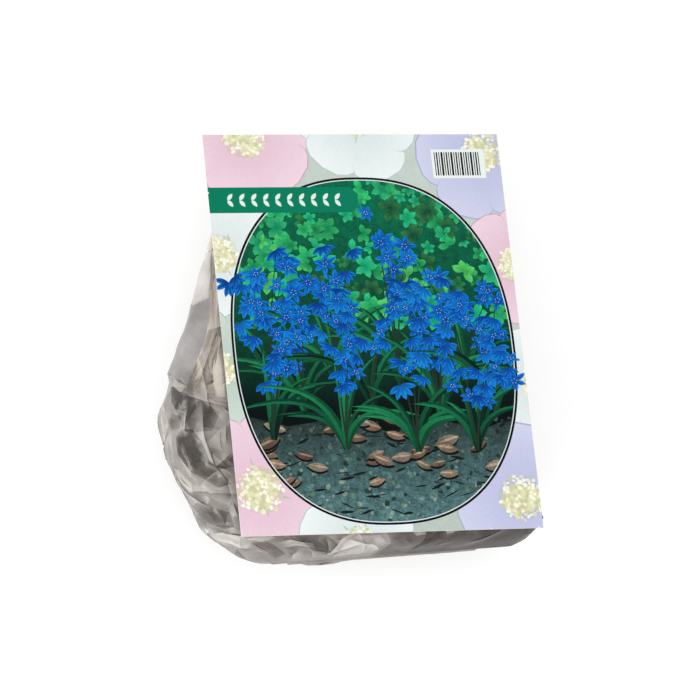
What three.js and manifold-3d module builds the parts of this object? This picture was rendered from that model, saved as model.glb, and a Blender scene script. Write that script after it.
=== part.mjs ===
// A retail pack of small flower bulbs: a smoky film bag that holds forty bulbs and a wad of wood
// shavings, with a stiff picture card stuck to its front. The pack lies on its back, card up.
// Millimetres. +X runs to the reader's right across the card, +Y to the card's top, +Z up.

import * as THREE from "three";
import { mergeVertices } from "three/addons/utils/BufferGeometryUtils.js";
import Module from "manifold-3d";

const wasm = await Module();
wasm.setup();

// ---- driving dimensions

const CARD_WIDTH = 160;
const CARD_HEIGHT = 215;
const CARD_THICK = 0.6;
const CARD_TILT = THREE.MathUtils.degToRad(6); // the card's top end lies lower than its foot
const FILM_THICK = 0.8;
const GLUE_THICK = 0.5;
const TOUCH_GAP = 0.3; // left between pieces that touch
const FLATTENED = 4; // how far the filled bag is pressed flat by its own weight
const BULB_COUNT = 40;
const BULB_RADIUS = 11.8; // at the widest part of a middling bulb
const VENT_RADIUS = 3;

// ---- from the card's own frame to the part's frame

// The bag's outline, in rings from its top weld to its bottom weld. down is the distance from the
// card's top edge, left and right are half widths from the card's middle line, and front and back
// are depths behind the card.
const FILM_FRONT = TOUCH_GAP + GLUE_THICK + TOUCH_GAP;
const RINGS = [
  { down: 5, left: 72, right: 72, front: FILM_FRONT, back: 2.9 },
  { down: 16, left: 73, right: 73, front: FILM_FRONT, back: 3.6 },
  { down: 45, left: 77, right: 75, front: FILM_FRONT, back: 7 },
  { down: 70, left: 85, right: 78, front: FILM_FRONT, back: 18 },
  { down: 95, left: 93, right: 82, front: FILM_FRONT, back: 32 },
  { down: 118, left: 102, right: 86, front: FILM_FRONT, back: 45 },
  { down: 140, left: 109, right: 88, front: FILM_FRONT, back: 54 },
  { down: 165, left: 105, right: 88, front: FILM_FRONT, back: 59 },
  { down: 188, left: 96, right: 86, front: FILM_FRONT, back: 59 },
  { down: 203, left: 90, right: 84, front: 3, back: 56 },
  { down: 212, left: 80, right: 78, front: 9, back: 49 },
  { down: 217.5, left: 69, right: 72, front: 18, back: 40 },
  { down: 220, left: 61, right: 66, front: 28, back: 30.4 },
];
const DEEPEST = RINGS[7];

// The card's middle is as high as the flattened bag behind it is deep.
const CARD_MIDDLE_HIGH =
  DEEPEST.back * Math.cos(CARD_TILT) +
  (CARD_HEIGHT / 2 - DEEPEST.down) * Math.sin(CARD_TILT) -
  FLATTENED;

// across is to the right of the card's middle line, down is from its top edge, and depth is
// behind its back face.
function place(across, down, depth) {
  const up = CARD_HEIGHT / 2 - down;
  return new THREE.Vector3(
    across,
    up * Math.cos(CARD_TILT) - depth * Math.sin(CARD_TILT),
    CARD_MIDDLE_HIGH - up * Math.sin(CARD_TILT) - depth * Math.cos(CARD_TILT),
  );
}

function unplace(point) {
  const high = point.z - CARD_MIDDLE_HIGH;
  const up = point.y * Math.cos(CARD_TILT) - high * Math.sin(CARD_TILT);
  const depth = -point.y * Math.sin(CARD_TILT) - high * Math.cos(CARD_TILT);
  return { across: point.x, down: CARD_HEIGHT / 2 - up, depth };
}

// ---- small helpers

// The same run of numbers from 0 to 1 every time.
function seededRandom(seed) {
  let state = seed;
  return () => {
    state = (state * 1664525 + 1013904223) % 4294967296;
    return state / 4294967296;
  };
}

function clampedShare(value, from, to) {
  return THREE.MathUtils.clamp((value - from) / (to - from), 0, 1);
}

// A closed mesh through rows of points. Each row is a closed loop, and a fan closes each end.
function loft(rows) {
  const around = rows[0].length;
  const points = rows.flat();
  const faces = [];
  for (let row = 0; row + 1 < rows.length; row++) {
    for (let i = 0; i < around; i++) {
      const a = row * around + i;
      const b = row * around + ((i + 1) % around);
      faces.push(a, a + around, b + around, a, b + around, b);
    }
  }
  for (const [start, isFirst] of [[0, true], [(rows.length - 1) * around, false]]) {
    const middle = points.length;
    const centre = new THREE.Vector3();
    for (let i = 0; i < around; i++) centre.addScaledVector(points[start + i], 1 / around);
    points.push(centre);
    for (let i = 0; i < around; i++) {
      const a = start + i;
      const b = start + ((i + 1) % around);
      faces.push(...(isFirst ? [middle, a, b] : [middle, b, a]));
    }
  }
  return new THREE.BufferGeometry().setFromPoints(points).setIndex(faces);
}

function toSolid(geometry) {
  const bare = geometry.clone();
  bare.deleteAttribute("normal");
  bare.deleteAttribute("uv");
  const merged = mergeVertices(bare, 1e-4);
  return new wasm.Manifold(
    new wasm.Mesh({
      numProp: 3,
      vertProperties: merged.attributes.position.array,
      triVerts: new Uint32Array(merged.index.array),
    }),
  );
}

function toGeometry(solid) {
  const mesh = solid.getMesh();
  const geometry = new THREE.BufferGeometry();
  geometry.setAttribute("position", new THREE.BufferAttribute(mesh.vertProperties, 3));
  geometry.setIndex(new THREE.BufferAttribute(mesh.triVerts, 1));
  return geometry;
}

function namedMesh(name, geometry, finish) {
  const mesh = new THREE.Mesh(
    geometry,
    new THREE.MeshStandardMaterial({ metalness: 0, flatShading: true, ...finish }),
  );
  mesh.name = name;
  return mesh;
}

// ---- the picture card and its glue

const CARD_FINISH = { color: 0xc4d0c6, roughness: 0.3 };
const GLUE_FINISH = { color: 0xd9cfae, roughness: 0.5 };

function flatOnCard(name, width, height, thick, down, depth, finish) {
  const sheet = namedMesh(name, new THREE.BoxGeometry(width, height, thick), finish);
  sheet.position.copy(place(0, down, depth));
  sheet.rotation.x = -CARD_TILT;
  return sheet;
}

function pictureCard() {
  return flatOnCard("picture_card", CARD_WIDTH, CARD_HEIGHT, CARD_THICK,
    CARD_HEIGHT / 2, -CARD_THICK / 2, CARD_FINISH);
}

function glueStrips() {
  const depth = TOUCH_GAP + GLUE_THICK / 2;
  return [
    flatOnCard("glue_strip_top", 120, 10, GLUE_THICK, 17, depth, GLUE_FINISH),
    flatOnCard("glue_strip_middle", 60, 10, GLUE_THICK, 155, depth, GLUE_FINISH),
  ];
}

// ---- the film bag

const RING_STEPS = 24;
const ROUND_STEPS = 36;
const FRONT_SQUARENESS = 4; // the card presses the front flat
const BACK_SQUARENESS = 2.6;
const FILM_FINISH = { color: 0xa8a29c, roughness: 0.3, transparent: true, opacity: 0.5 };

const depthCurve = new THREE.CatmullRomCurve3(
  RINGS.map((ring) => new THREE.Vector3(ring.down, ring.front, ring.back)),
);
const widthCurve = new THREE.CatmullRomCurve3(
  RINGS.map((ring) => new THREE.Vector3(ring.down, ring.left, ring.right)),
);

function ringAt(share) {
  const depths = depthCurve.getPoint(share);
  const widths = widthCurve.getPoint(share);
  return {
    down: depths.x,
    left: widths.y,
    right: widths.z,
    middle: (Math.max(FILM_FRONT, depths.y) + depths.z) / 2,
    halfDepth: (depths.z - Math.max(FILM_FRONT, depths.y)) / 2,
  };
}

// A fold of spare film runs down the left front shoulder, from beside the card to a point below
// which it lies flat again. Turns run once round a ring from the right, by the back.
const FOLD_COLUMN = THREE.MathUtils.degToRad(200);
const FOLD_TOP = { down: 66, turn: THREE.MathUtils.degToRad(196) };
const FOLD_FOOT = { down: 130, turn: THREE.MathUtils.degToRad(209) };
const FOLD_RISE = 4;
const FOLD_REACH = THREE.MathUtils.degToRad(40);

// Columns near the fold bend, so that one of them follows it.
function bentTurn(turn, down) {
  const along = clampedShare(down, FOLD_TOP.down, FOLD_FOOT.down);
  const wanted = THREE.MathUtils.lerp(FOLD_TOP.turn, FOLD_FOOT.turn, along);
  const pull = Math.max(0, 1 - Math.abs(turn - FOLD_COLUMN) / FOLD_REACH);
  return turn + (wanted - FOLD_COLUMN) * pull;
}

// How far the slack film stands out from the smooth ring.
function slack(turn, ring) {
  const loose = clampedShare(ring.halfDepth, 1, 16);
  const ripple =
    Math.sin(3 * turn + 0.11 * ring.down) + Math.sin(7 * turn - 0.17 * ring.down + 1.3);
  const onFold = Math.abs(turn - FOLD_COLUMN) < 0.01;
  const rise = clampedShare(ring.down, FOLD_TOP.down - 12, FOLD_TOP.down + 8);
  const fall = 1 - clampedShare(ring.down, FOLD_FOOT.down - 3, FOLD_FOOT.down + 5);
  return 0.7 * loose * ripple + (onFold ? FOLD_RISE * rise * fall : 0);
}

// The bag's foot has slid askew: it hangs lower on the left.
const FOOT_SKEW = 0.045;

function skewAt(across, down) {
  return FOOT_SKEW * across * clampedShare(down, 190, 215);
}

function ringPoint(ring, turn, inset) {
  const bent = bentTurn(turn, ring.down);
  const squareness = Math.sin(bent) > 0 ? BACK_SQUARENESS : FRONT_SQUARENESS;
  const halfWidth = Math.cos(bent) > 0 ? ring.right : ring.left;
  const wide = Math.abs(Math.cos(bent)) ** (2 / squareness) * Math.sign(Math.cos(bent));
  const deep = Math.abs(Math.sin(bent)) ** (2 / squareness) * Math.sign(Math.sin(bent));
  const outward = new THREE.Vector2(
    (Math.abs(wide) ** (squareness - 1) * Math.sign(wide)) / halfWidth,
    (Math.abs(deep) ** (squareness - 1) * Math.sign(deep)) / ring.halfDepth,
  ).normalize();
  const proud = slack(turn, ring) - inset;
  const across = halfWidth * wide + outward.x * proud;
  const depth = ring.middle + ring.halfDepth * deep + outward.y * proud;
  const isUnderCard = Math.abs(across) < CARD_WIDTH / 2 + 2;
  // Near its foot the bag closes, so its inner face lies that much nearer the top too.
  const drawnUp = inset * clampedShare(ring.down, 195, 212);
  const down = ring.down - drawnUp - skewAt(across, ring.down);
  const point = place(across, down, isUnderCard ? Math.max(depth, FILM_FRONT + inset) : depth);
  point.z = Math.max(point.z, inset);
  return point;
}

function bagRows(inset, firstRow, lastRow) {
  const rows = [];
  for (let row = firstRow; row <= lastRow; row++) {
    const ring = ringAt(row / RING_STEPS);
    const turns = Array.from({ length: ROUND_STEPS }, (_, i) => (i / ROUND_STEPS) * 2 * Math.PI);
    rows.push(turns.map((turn) => ringPoint(ring, turn, inset)));
  }
  return rows;
}

// Whether a point lies outside the bag once its film is drawn in by inset.
const RING_BY_MM = Array.from({ length: Math.ceil(RINGS.at(-1).down) + 1 }, (_, down) => {
  const rings = Array.from({ length: 200 }, (_unused, i) => ringAt(i / 199));
  return rings.reduce((best, ring) =>
    Math.abs(ring.down - down) < Math.abs(best.down - down) ? ring : best,
  );
});

function isOutside(point, inset) {
  const { across, down: straightDown, depth } = unplace(point);
  const down = straightDown + skewAt(across, straightDown);
  if (down < RINGS[0].down || down > RINGS.at(-1).down - inset || point.z < inset) return true;
  // Near the foot the rings close in fast, so the one that far further down counts.
  const ring = RING_BY_MM[Math.round(down + inset * clampedShare(down, 190, 205))];
  const squareness = depth > ring.middle ? BACK_SQUARENESS : FRONT_SQUARENESS;
  const halfWidth = (across > 0 ? ring.right : ring.left) - inset;
  const halfDepth = ring.halfDepth - inset;
  if (halfDepth <= 0) return true;
  const wide = Math.abs(across) / halfWidth;
  const deep = Math.abs(depth - ring.middle) / halfDepth;
  return wide ** squareness + deep ** squareness > 1;
}

// Punched air holes through the back film.
const VENT_ACROSS = [-54, -18, 18, 54];
const VENT_DOWN = [78, 102];

function vents() {
  return VENT_DOWN.flatMap((down) =>
    VENT_ACROSS.map((across) => {
      const ring = RING_BY_MM[down];
      const hole = new THREE.CylinderGeometry(VENT_RADIUS, VENT_RADIUS, 18, 12);
      hole.rotateX(Math.PI / 2 - CARD_TILT);
      const centre = place(across, down, ring.middle + ring.halfDepth - 1);
      hole.translate(centre.x, centre.y, centre.z);
      return toSolid(hole);
    }),
  );
}

function filmBag() {
  const outside = toSolid(loft(bagRows(0, 0, RING_STEPS)));
  const inside = toSolid(loft(bagRows(FILM_THICK, 3, RING_STEPS - 1)));
  const hollow = outside.subtract(inside);
  const vented = vents().reduce((bag, vent) => bag.subtract(vent), hollow);
  return namedMesh("film_bag", toGeometry(vented), FILM_FINISH);
}

// ---- the bulbs

// Each bulb is round below, with a flat basal plate, and draws up to a papery nose. Radius and
// height at scale 1, up the bulb's own axis.
const BULB_PROFILE = [[0, 0], [5.5, 0.6], [9.9, 4], [BULB_RADIUS, 9.5], [11.3, 13.5],
  [8.6, 18.5], [4.4, 22.2], [1.7, 25.2], [0, 27.5]];
const BULB_SIDES = 10;
const BULB_SCALES = [0.94, 1.05];
const BULB_MIDDLE_HIGH = 10.5; // centre of the ball that the body fits in
const BULB_BALL = 12.1;
const NOSE_BALLS = [{ beyond: 13.4, radius: 3 }, { beyond: 16.2, radius: 1.5 }];
const BULB_CLEARANCE = 0.5;
const BULB_FILM_GAP = 2.6; // allows for the film's ripples
const BULBS_BELOW = 108; // the bulbs have slid down past here
const BULB_COLOURS = [0x6d4a3c, 0x7c5646, 0x5d3f38, 0x86624d, 0x6a4550];

// Directions evenly round a ball.
function ballDirections(count) {
  return Array.from({ length: count }, (_, i) => {
    const high = 1 - (2 * i + 1) / count;
    const turn = i * Math.PI * (3 - Math.sqrt(5));
    const flat = Math.sqrt(1 - high * high);
    return new THREE.Vector3(flat * Math.cos(turn), flat * Math.sin(turn), high);
  });
}

// Drops balls into the bag, pushes them apart and holds them in, until they lie clear.
function packedBulbs(random) {
  const bulbs = Array.from({ length: BULB_COUNT }, () => {
    const scale = THREE.MathUtils.lerp(...BULB_SCALES, random());
    const centre = place(150 * random() - 80, 130 + 70 * random(), 14 + 30 * random());
    return { scale, radius: scale * BULB_BALL, centre };
  });
  const directions = ballDirections(40);
  const rounds = 700;
  for (let round = 0; round < rounds; round++) {
    const isSettling = round < rounds - 260;
    for (const bulb of bulbs) {
      if (isSettling) bulb.centre.add(new THREE.Vector3(0, -0.05, -0.12));
      for (const other of bulbs) {
        const between = bulb.centre.clone().sub(other.centre);
        const overlap = bulb.radius + other.radius + BULB_CLEARANCE + 0.3 - between.length();
        if (other === bulb || overlap <= 0) continue;
        bulb.centre.addScaledVector(between.normalize(), overlap / 2);
        other.centre.addScaledVector(between, -overlap / 2);
      }
      for (const direction of directions) {
        const skin = bulb.centre.clone().addScaledVector(direction, bulb.radius);
        const isOut = isOutside(skin, BULB_FILM_GAP) || unplace(skin).down < BULBS_BELOW;
        if (isOut) bulb.centre.addScaledVector(direction, -0.25);
      }
    }
  }
  return bulbs;
}

function noseBalls(bulb, direction) {
  return NOSE_BALLS.map(({ beyond, radius }) => ({
    centre: bulb.centre.clone().addScaledVector(direction, beyond * bulb.scale),
    radius: radius * bulb.scale,
  }));
}

// Points each nose to where it has the most room.
function pointNoses(bulbs, random) {
  const taken = bulbs.map((bulb) => [{ centre: bulb.centre, radius: bulb.radius }]);
  bulbs.forEach((bulb, index) => {
    const others = taken.filter((_, i) => i !== index).flat();
    let bestRoom = -Infinity;
    for (let tries = 0; tries < 300; tries++) {
      const direction = new THREE.Vector3(
        2 * random() - 1, 2 * random() - 1, 1.4 * random() - 0.7).normalize();
      const nose = noseBalls(bulb, direction);
      const room = Math.min(3, ...nose.flatMap((ball) =>
        others.map((other) =>
          ball.centre.distanceTo(other.centre) - ball.radius - other.radius)));
      const isHeld = nose.every((ball) =>
        ballDirections(12).every((way) => {
          const skin = ball.centre.clone().addScaledVector(way, ball.radius);
          return !isOutside(skin, BULB_FILM_GAP) && unplace(skin).down > BULBS_BELOW;
        }));
      if (isHeld && room > bestRoom) {
        bestRoom = room;
        bulb.direction = direction;
      }
    }
    taken[index].push(...noseBalls(bulb, bulb.direction));
  });
}

function bulbMeshes() {
  const random = seededRandom(7);
  const bulbs = packedBulbs(random);
  pointNoses(bulbs, random);
  const profile = BULB_PROFILE.map(([radius, high]) =>
    new THREE.Vector2(radius, high - BULB_MIDDLE_HIGH));
  return bulbs.map((bulb, index) => {
    const name = `bulb_${String(index + 1).padStart(2, "0")}`;
    const color = BULB_COLOURS[index % BULB_COLOURS.length];
    const mesh = namedMesh(name, new THREE.LatheGeometry(profile, BULB_SIDES), { color, roughness: 0.6 });
    mesh.position.copy(bulb.centre);
    mesh.quaternion.setFromUnitVectors(new THREE.Vector3(0, 1, 0), bulb.direction);
    mesh.scale.setScalar(bulb.scale);
    return mesh;
  });
}

// ---- the wood shavings

// A loose wad fills the thin upper part of the bag, above the bulbs. Curled strips stand out of
// both faces of a smaller core.
const WAD_DOWN = [72, 103];
const WAD_ROWS = 6;
const WAD_SIDES = 20;
const WAD_FROM_FILM = 6.4; // leaves room for the curls
const WAD_FROM_SIDES = 14;
const CURL_THICK = 0.7;
const CURL_STEPS = 4;
const CURL_SUNK = 1.2;
const CURL_DOWN = [79, 88, 97];
const CURL_SPACING = 15.5;
const SHAVING_FINISH = { color: 0xb9986b, roughness: 0.8 };

function wadPoint(down, turn) {
  const ring = RING_BY_MM[Math.round(down)];
  const share = clampedShare(down, ...WAD_DOWN);
  const drawnIn = 0.6 + 0.4 * Math.sin(Math.PI * share);
  const halfWidth = ((Math.cos(turn) > 0 ? ring.right : ring.left) - WAD_FROM_SIDES) * drawnIn;
  const halfDepth = Math.max(1.5, ring.halfDepth - WAD_FROM_FILM);
  return place(halfWidth * Math.cos(turn), ring.down, ring.middle + halfDepth * Math.sin(turn));
}

function wadCore() {
  const downs = Array.from({ length: WAD_ROWS + 1 }, (_, i) =>
    THREE.MathUtils.lerp(...WAD_DOWN, i / WAD_ROWS));
  return loft(downs.map((down) =>
    Array.from({ length: WAD_SIDES }, (_, i) => wadPoint(down, (i / WAD_SIDES) * 2 * Math.PI))));
}

// A strip bent round an arc about Z, its middle towards +Y.
function curl(radius, swept, width) {
  const rows = [];
  for (let step = 0; step <= CURL_STEPS; step++) {
    const turn = (step / CURL_STEPS - 0.5) * swept;
    const corner = (r, z) => new THREE.Vector3(r * Math.sin(turn), r * Math.cos(turn), z);
    const inner = radius - CURL_THICK / 2;
    const outer = radius + CURL_THICK / 2;
    rows.push([corner(inner, -width / 2), corner(inner, width / 2),
      corner(outer, width / 2), corner(outer, -width / 2)]);
  }
  return loft(rows);
}

function woodShavings() {
  const random = seededRandom(29);
  const pieces = [toSolid(wadCore())];
  for (const down of CURL_DOWN) {
    for (const side of [1, -1]) {
      for (let across = -62; across <= 62; across += CURL_SPACING) {
        const turn = side * Math.acos(THREE.MathUtils.clamp(across / 80, -1, 1));
        const strip = curl(3.6 + 1.2 * random(), 3.1, 2.4 + 1.2 * random());
        strip.rotateY(random() * Math.PI);
        strip.rotateX((side * -Math.PI) / 2 + 0.5 * (random() - 0.5));
        const root = wadPoint(down + 3 * (random() - 0.5), turn);
        const outward = place(0, 0, side).sub(place(0, 0, 0));
        root.addScaledVector(outward, -CURL_SUNK);
        strip.translate(root.x, root.y, root.z);
        pieces.push(toSolid(strip));
      }
    }
  }
  return namedMesh("wood_shavings", toGeometry(wasm.Manifold.union(pieces)), SHAVING_FINISH);
}

// ---- the whole pack, with its origin under the middle of its box

const pack = new THREE.Group();
pack.add(pictureCard(), ...glueStrips(), filmBag(), ...bulbMeshes(), woodShavings());

const box = new THREE.Box3().setFromObject(pack, true);
const centre = box.getCenter(new THREE.Vector3());
pack.position.set(-centre.x, -centre.y, 0);

export default pack;
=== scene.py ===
import math
import random

import bmesh
import bpy
import numpy
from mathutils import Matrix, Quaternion, Vector, noise
from mathutils.bvhtree import BVHTree
from mathutils.geometry import delaunay_2d_cdt


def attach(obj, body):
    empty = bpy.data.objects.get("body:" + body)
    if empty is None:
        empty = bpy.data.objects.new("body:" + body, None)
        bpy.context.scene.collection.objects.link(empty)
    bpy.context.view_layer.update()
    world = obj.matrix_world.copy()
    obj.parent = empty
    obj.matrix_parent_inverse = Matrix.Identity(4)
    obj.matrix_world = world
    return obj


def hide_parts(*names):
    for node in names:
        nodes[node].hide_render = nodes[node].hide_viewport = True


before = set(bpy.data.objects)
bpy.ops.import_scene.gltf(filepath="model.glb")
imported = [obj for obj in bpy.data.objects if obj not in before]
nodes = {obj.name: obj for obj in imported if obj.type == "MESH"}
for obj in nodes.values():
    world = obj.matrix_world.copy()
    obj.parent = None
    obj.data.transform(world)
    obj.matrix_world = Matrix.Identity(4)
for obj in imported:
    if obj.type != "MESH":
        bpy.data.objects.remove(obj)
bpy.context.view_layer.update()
MM = 0.001


# ---- Camera
# Looks down on the pack from beyond the card's lower left corner, through a long lens that keeps
# the card's edges nearly parallel.

CAMERA_AZIMUTH = math.radians(-55.59)
CAMERA_ELEVATION = math.radians(69.98)
CAMERA_ROLL = math.radians(52.94)
CAMERA_DISTANCE = 2.2135
CAMERA_AIM = Vector((0.003, -0.0007, 0.03))
CAMERA_LENS = 220


def new_object(name, data):
    """An object in the scene, at its origin."""
    made = bpy.data.objects.new(name, data)
    bpy.context.collection.objects.link(made)
    return made


camera = new_object("camera", bpy.data.cameras.new("camera"))
camera.data.lens = CAMERA_LENS
towards_camera = Vector((
    math.cos(CAMERA_ELEVATION) * math.sin(CAMERA_AZIMUTH),
    -math.cos(CAMERA_ELEVATION) * math.cos(CAMERA_AZIMUTH),
    math.sin(CAMERA_ELEVATION),
))
camera.location = CAMERA_AIM + towards_camera * CAMERA_DISTANCE
camera.rotation_mode = "QUATERNION"
camera.rotation_quaternion = (
    (-towards_camera).to_track_quat("-Z", "Y") @ Quaternion((0, 0, 1), CAMERA_ROLL)
)
bpy.context.scene.camera = camera


# ---- Picture card
# One flat sheet of stiff white board, printed on its front and varnished. The print is cut into
# the sheet's front face as a mosaic, so each printed shape is a patch of faces of its own colour.

corners = [vertex.co for vertex in nodes["picture_card"].data.vertices]
foot_high = max(corner.z for corner in corners)
head_far = max(corner.y for corner in corners)
foot_edge = [corner for corner in corners if corner.z > foot_high - 0.01 * MM]
head_edge = [corner for corner in corners if corner.y > head_far - 0.01 * MM]
foot_left = min(foot_edge, key=lambda corner: corner.x).copy()
foot_right = max(foot_edge, key=lambda corner: corner.x).copy()
head_left = min(head_edge, key=lambda corner: corner.x).copy()
card_right = (foot_right - foot_left).normalized()
card_up = (head_left - foot_left).normalized()
card_out = card_right.cross(card_up)
CARD_WIDTH = (foot_right - foot_left).length / MM
CARD_HEIGHT = (head_left - foot_left).length / MM
CARD_THICK = 0.6


def on_card(x, y, out=0.0):
    """A point x and y millimetres from the card's lower left corner, and out in front of it."""
    return foot_left + (card_right * x + card_up * y + card_out * out) * MM


BOARD_WHITE = 0.84  # the share of light that unprinted board throws back


def ink(red, green, blue):
    """A printed colour, from screen values of 0 to 255 to linear light on the board."""
    shares = (red / 255, green / 255, blue / 255)
    return tuple(
        BOARD_WHITE * (s / 12.92 if s <= 0.04045 else ((s + 0.055) / 1.055) ** 2.4) for s in shares)


def mixed(first, second, share):
    share = min(1.0, max(0.0, share))
    return tuple(a + (b - a) * share for a, b in zip(first, second))


def fade(first, second, start, end):
    """Paint that goes from one colour at start to another at end."""
    span = Vector(end) - Vector(start)
    return lambda x, y: mixed(
        first, second, (Vector((x, y)) - Vector(start)).dot(span) / span.length_squared)


drawing = []  # each entry: outline in mm, colour or fade, the entry it is inside, and its grain


def lay(outline, paint, within=None, grain=0.1):
    """Lays a shape over the drawing so far, and returns its number."""
    drawing.append(([Vector(point) for point in outline], paint, within, grain))
    return len(drawing) - 1


def box_outline(left, foot, right, head):
    return [(left, foot), (right, foot), (right, head), (left, head)]


def petal_outline(length, width, fullness, steps=5, tip=1.0):
    """A petal along +x. Fullness above 1 moves its widest part out. A tip below 1 notches it."""
    side = []
    for step in range(1, steps):
        along = step / steps
        side.append((length * along, width / 2 * math.sin(math.pi * along**fullness) ** 0.8))
    return ([(0.0, 0.0)] + [(x, -y) for x, y in side] + [(length * tip, 0.0)]
            + [(x, y) for x, y in reversed(side)])


def turned(outline, turn, centre, squash=1.0, facing=0.0):
    """Turns an outline, squashes it across facing, and moves it to its centre."""
    placed = []
    for x, y in outline:
        a = x * math.cos(turn) - y * math.sin(turn)
        b = (x * math.sin(turn) + y * math.cos(turn)) * squash
        placed.append((
            centre[0] + a * math.cos(facing) - b * math.sin(facing),
            centre[1] + a * math.sin(facing) + b * math.cos(facing),
        ))
    return placed


def squared(value, squareness):
    """A sine or cosine for a round shape, which grows squarer as squareness rises above 2."""
    return math.copysign(abs(value) ** (2 / squareness), value)


def round_outline(centre, half_width, half_height, squareness=2.0, count=12):
    turns = [2 * math.pi * i / count for i in range(count)]
    return [(centre[0] + half_width * squared(math.cos(turn), squareness),
             centre[1] + half_height * squared(math.sin(turn), squareness)) for turn in turns]


def pebble_outline(rng, centre, radius, count=6):
    stretch, lean = rng.uniform(0.55, 0.95), rng.uniform(0, math.pi)
    ring = [(radius * rng.uniform(0.8, 1.15) * math.cos(2 * math.pi * i / count),
             radius * rng.uniform(0.8, 1.15) * math.sin(2 * math.pi * i / count))
            for i in range(count)]
    return turned(ring, 0.0, centre, stretch, lean)


def strap_outline(root, bend, tip, width, first=-1.0, last=1.0, steps=9):
    """A long leaf along a bent spine, between two shares of its half width."""
    sides = [[], []]
    for step in range(steps + 1):
        t = step / steps
        spine = [(1 - t) ** 2 * a + 2 * t * (1 - t) * b + t * t * c
                 for a, b, c in zip(root, bend, tip)]
        along = Vector([2 * (1 - t) * (b - a) + 2 * t * (c - b)
                        for a, b, c in zip(root, bend, tip)]).normalized()
        half = width / 2 * min(1.0, 0.5 + 2.5 * t) * (1 - t) ** 0.5
        for side, share in zip(sides, (first, last)):
            side.append((spine[0] - along.y * half * share, spine[1] + along.x * half * share))
    sides[1].pop()  # both sides end at the tip
    return sides[0] + sides[1][::-1]


# The pastel ground: grey-green, with large pale blossoms that have cream cushions of stamens.
GROUND = (ink(182, 196, 186), ink(200, 212, 204))
PASTELS = {
    "lavender": (ink(186, 190, 224), ink(212, 214, 238)),
    "pink": (ink(226, 190, 208), ink(242, 216, 228)),
    "white": (ink(214, 226, 226), ink(240, 247, 246)),
    "mint": (ink(182, 202, 190), ink(208, 222, 210)),
}
CREAMS = (ink(240, 240, 208), ink(226, 224, 184), ink(250, 249, 230), ink(206, 206, 166))
BLOSSOMS = [
    # x, y, radius, turn, colours
    (22, 214, 40, 0.3, "pink"), (84, 224, 36, 0.9, "white"), (150, 205, 38, 0.1, "lavender"),
    (2, 150, 36, 0.5, "white"), (162, 142, 34, 0.2, "pink"), (-4, 88, 34, 0.8, "mint"),
    (166, 78, 32, 0.6, "white"), (12, 24, 42, 0.2, "pink"), (62, -6, 34, 0.7, "white"),
    (150, 16, 40, 0.5, "lavender"),
]
card_rng = random.Random(11)
vary, pick = card_rng.uniform, card_rng.choice  # a random size, and one of a list

sheet = lay(box_outline(0, 0, CARD_WIDTH, CARD_HEIGHT),
            fade(*GROUND, (0, 0), (CARD_WIDTH, CARD_HEIGHT)))
for x, y, radius, turn, tint in BLOSSOMS:
    deep, pale = PASTELS[tint]
    for k in range(6):
        angle = turn + 2 * math.pi * k / 6
        length = radius * vary(0.94, 1.06)
        tip = (x + length * math.cos(angle), y + length * math.sin(angle))
        for grown, paint in (
            (1.02, mixed(deep, ink(120, 130, 150), 0.3)),
            (1.0, fade(deep, pale, (x, y), tip)),
        ):
            outline = petal_outline(length * grown, radius * 0.84 * grown, 1.9, 11, 0.95)
            lay(turned(outline, angle, (x, y)), paint, sheet, 0.04)
        for lean in (-0.22, -0.08, 0.08, 0.22):
            vein = petal_outline(length * vary(0.6, 0.8), radius * 0.014, 1.0, 3)
            lay(turned(vein, angle + lean, (x, y)), mixed(deep, pale, 0.3), sheet, 0.0)
    lay(round_outline((x, y), radius * 0.3, radius * 0.3, 2, 16), deep, sheet)
    lay(pebble_outline(card_rng, (x, y), radius * 0.27, 14), ink(222, 220, 178), sheet)
    for k in range(96):
        reach = radius * 0.29 * math.sqrt((k + 0.5) / 96) * vary(0.93, 1.07)
        angle = k * math.pi * (3 - math.sqrt(5))
        spot = (x + reach * math.cos(angle), y + reach * math.sin(angle))
        dot = pebble_outline(card_rng, spot, radius * vary(0.026, 0.042), 5)
        lay(dot, pick(CREAMS), sheet)

# The picture: a rounded panel with a black and a white line round it. Behind is sunlit
# undergrowth, and in front stony soil.
PANEL_CENTRE = (80.5, 97.5)
PANEL_HALF = (74.0, 92.0)
PANEL_SQUARENESS = 2.35
BLACK_LINE, WHITE_LINE = 1.7, 0.5
for grown, paint in ((BLACK_LINE, ink(8, 10, 16)), (WHITE_LINE, ink(225, 232, 232))):
    lay(round_outline(PANEL_CENTRE, PANEL_HALF[0] + grown, PANEL_HALF[1] + grown,
                      PANEL_SQUARENESS, 140), paint, sheet, 0.0)
panel = lay(round_outline(PANEL_CENTRE, *PANEL_HALF, PANEL_SQUARENESS, 140),
            fade(ink(0, 10, 12), ink(4, 104, 72), (0, 66), (0, 180)), sheet, 0.6)

UNDERGROWTH = [ink(4, 126, 80), ink(10, 172, 106), ink(32, 202, 122), ink(4, 92, 66),
               ink(0, 202, 144), ink(84, 218, 112), ink(6, 186, 130)]
for _ in range(190):
    spot = (vary(6, 154), vary(112, 190))
    green = mixed(pick(UNDERGROWTH), ink(0, 24, 16), vary(0, 0.16))
    spread = vary(3.6, 7.6)
    start = vary(0, 6.28)
    for k in range(card_rng.randint(3, 5)):
        angle = start + k * 1.26 + vary(-0.25, 0.25)
        tip = (spot[0] + spread * math.cos(angle), spot[1] + spread * math.sin(angle))
        leaf = petal_outline(spread, spread * 0.62, 1.1, 4)
        shaded, lit = mixed(green, ink(0, 20, 12), 0.5), mixed(green, ink(120, 200, 90), 0.18)
        lay(turned(leaf, angle, spot), fade(shaded, lit, spot, tip), panel, 0.45)

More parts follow.
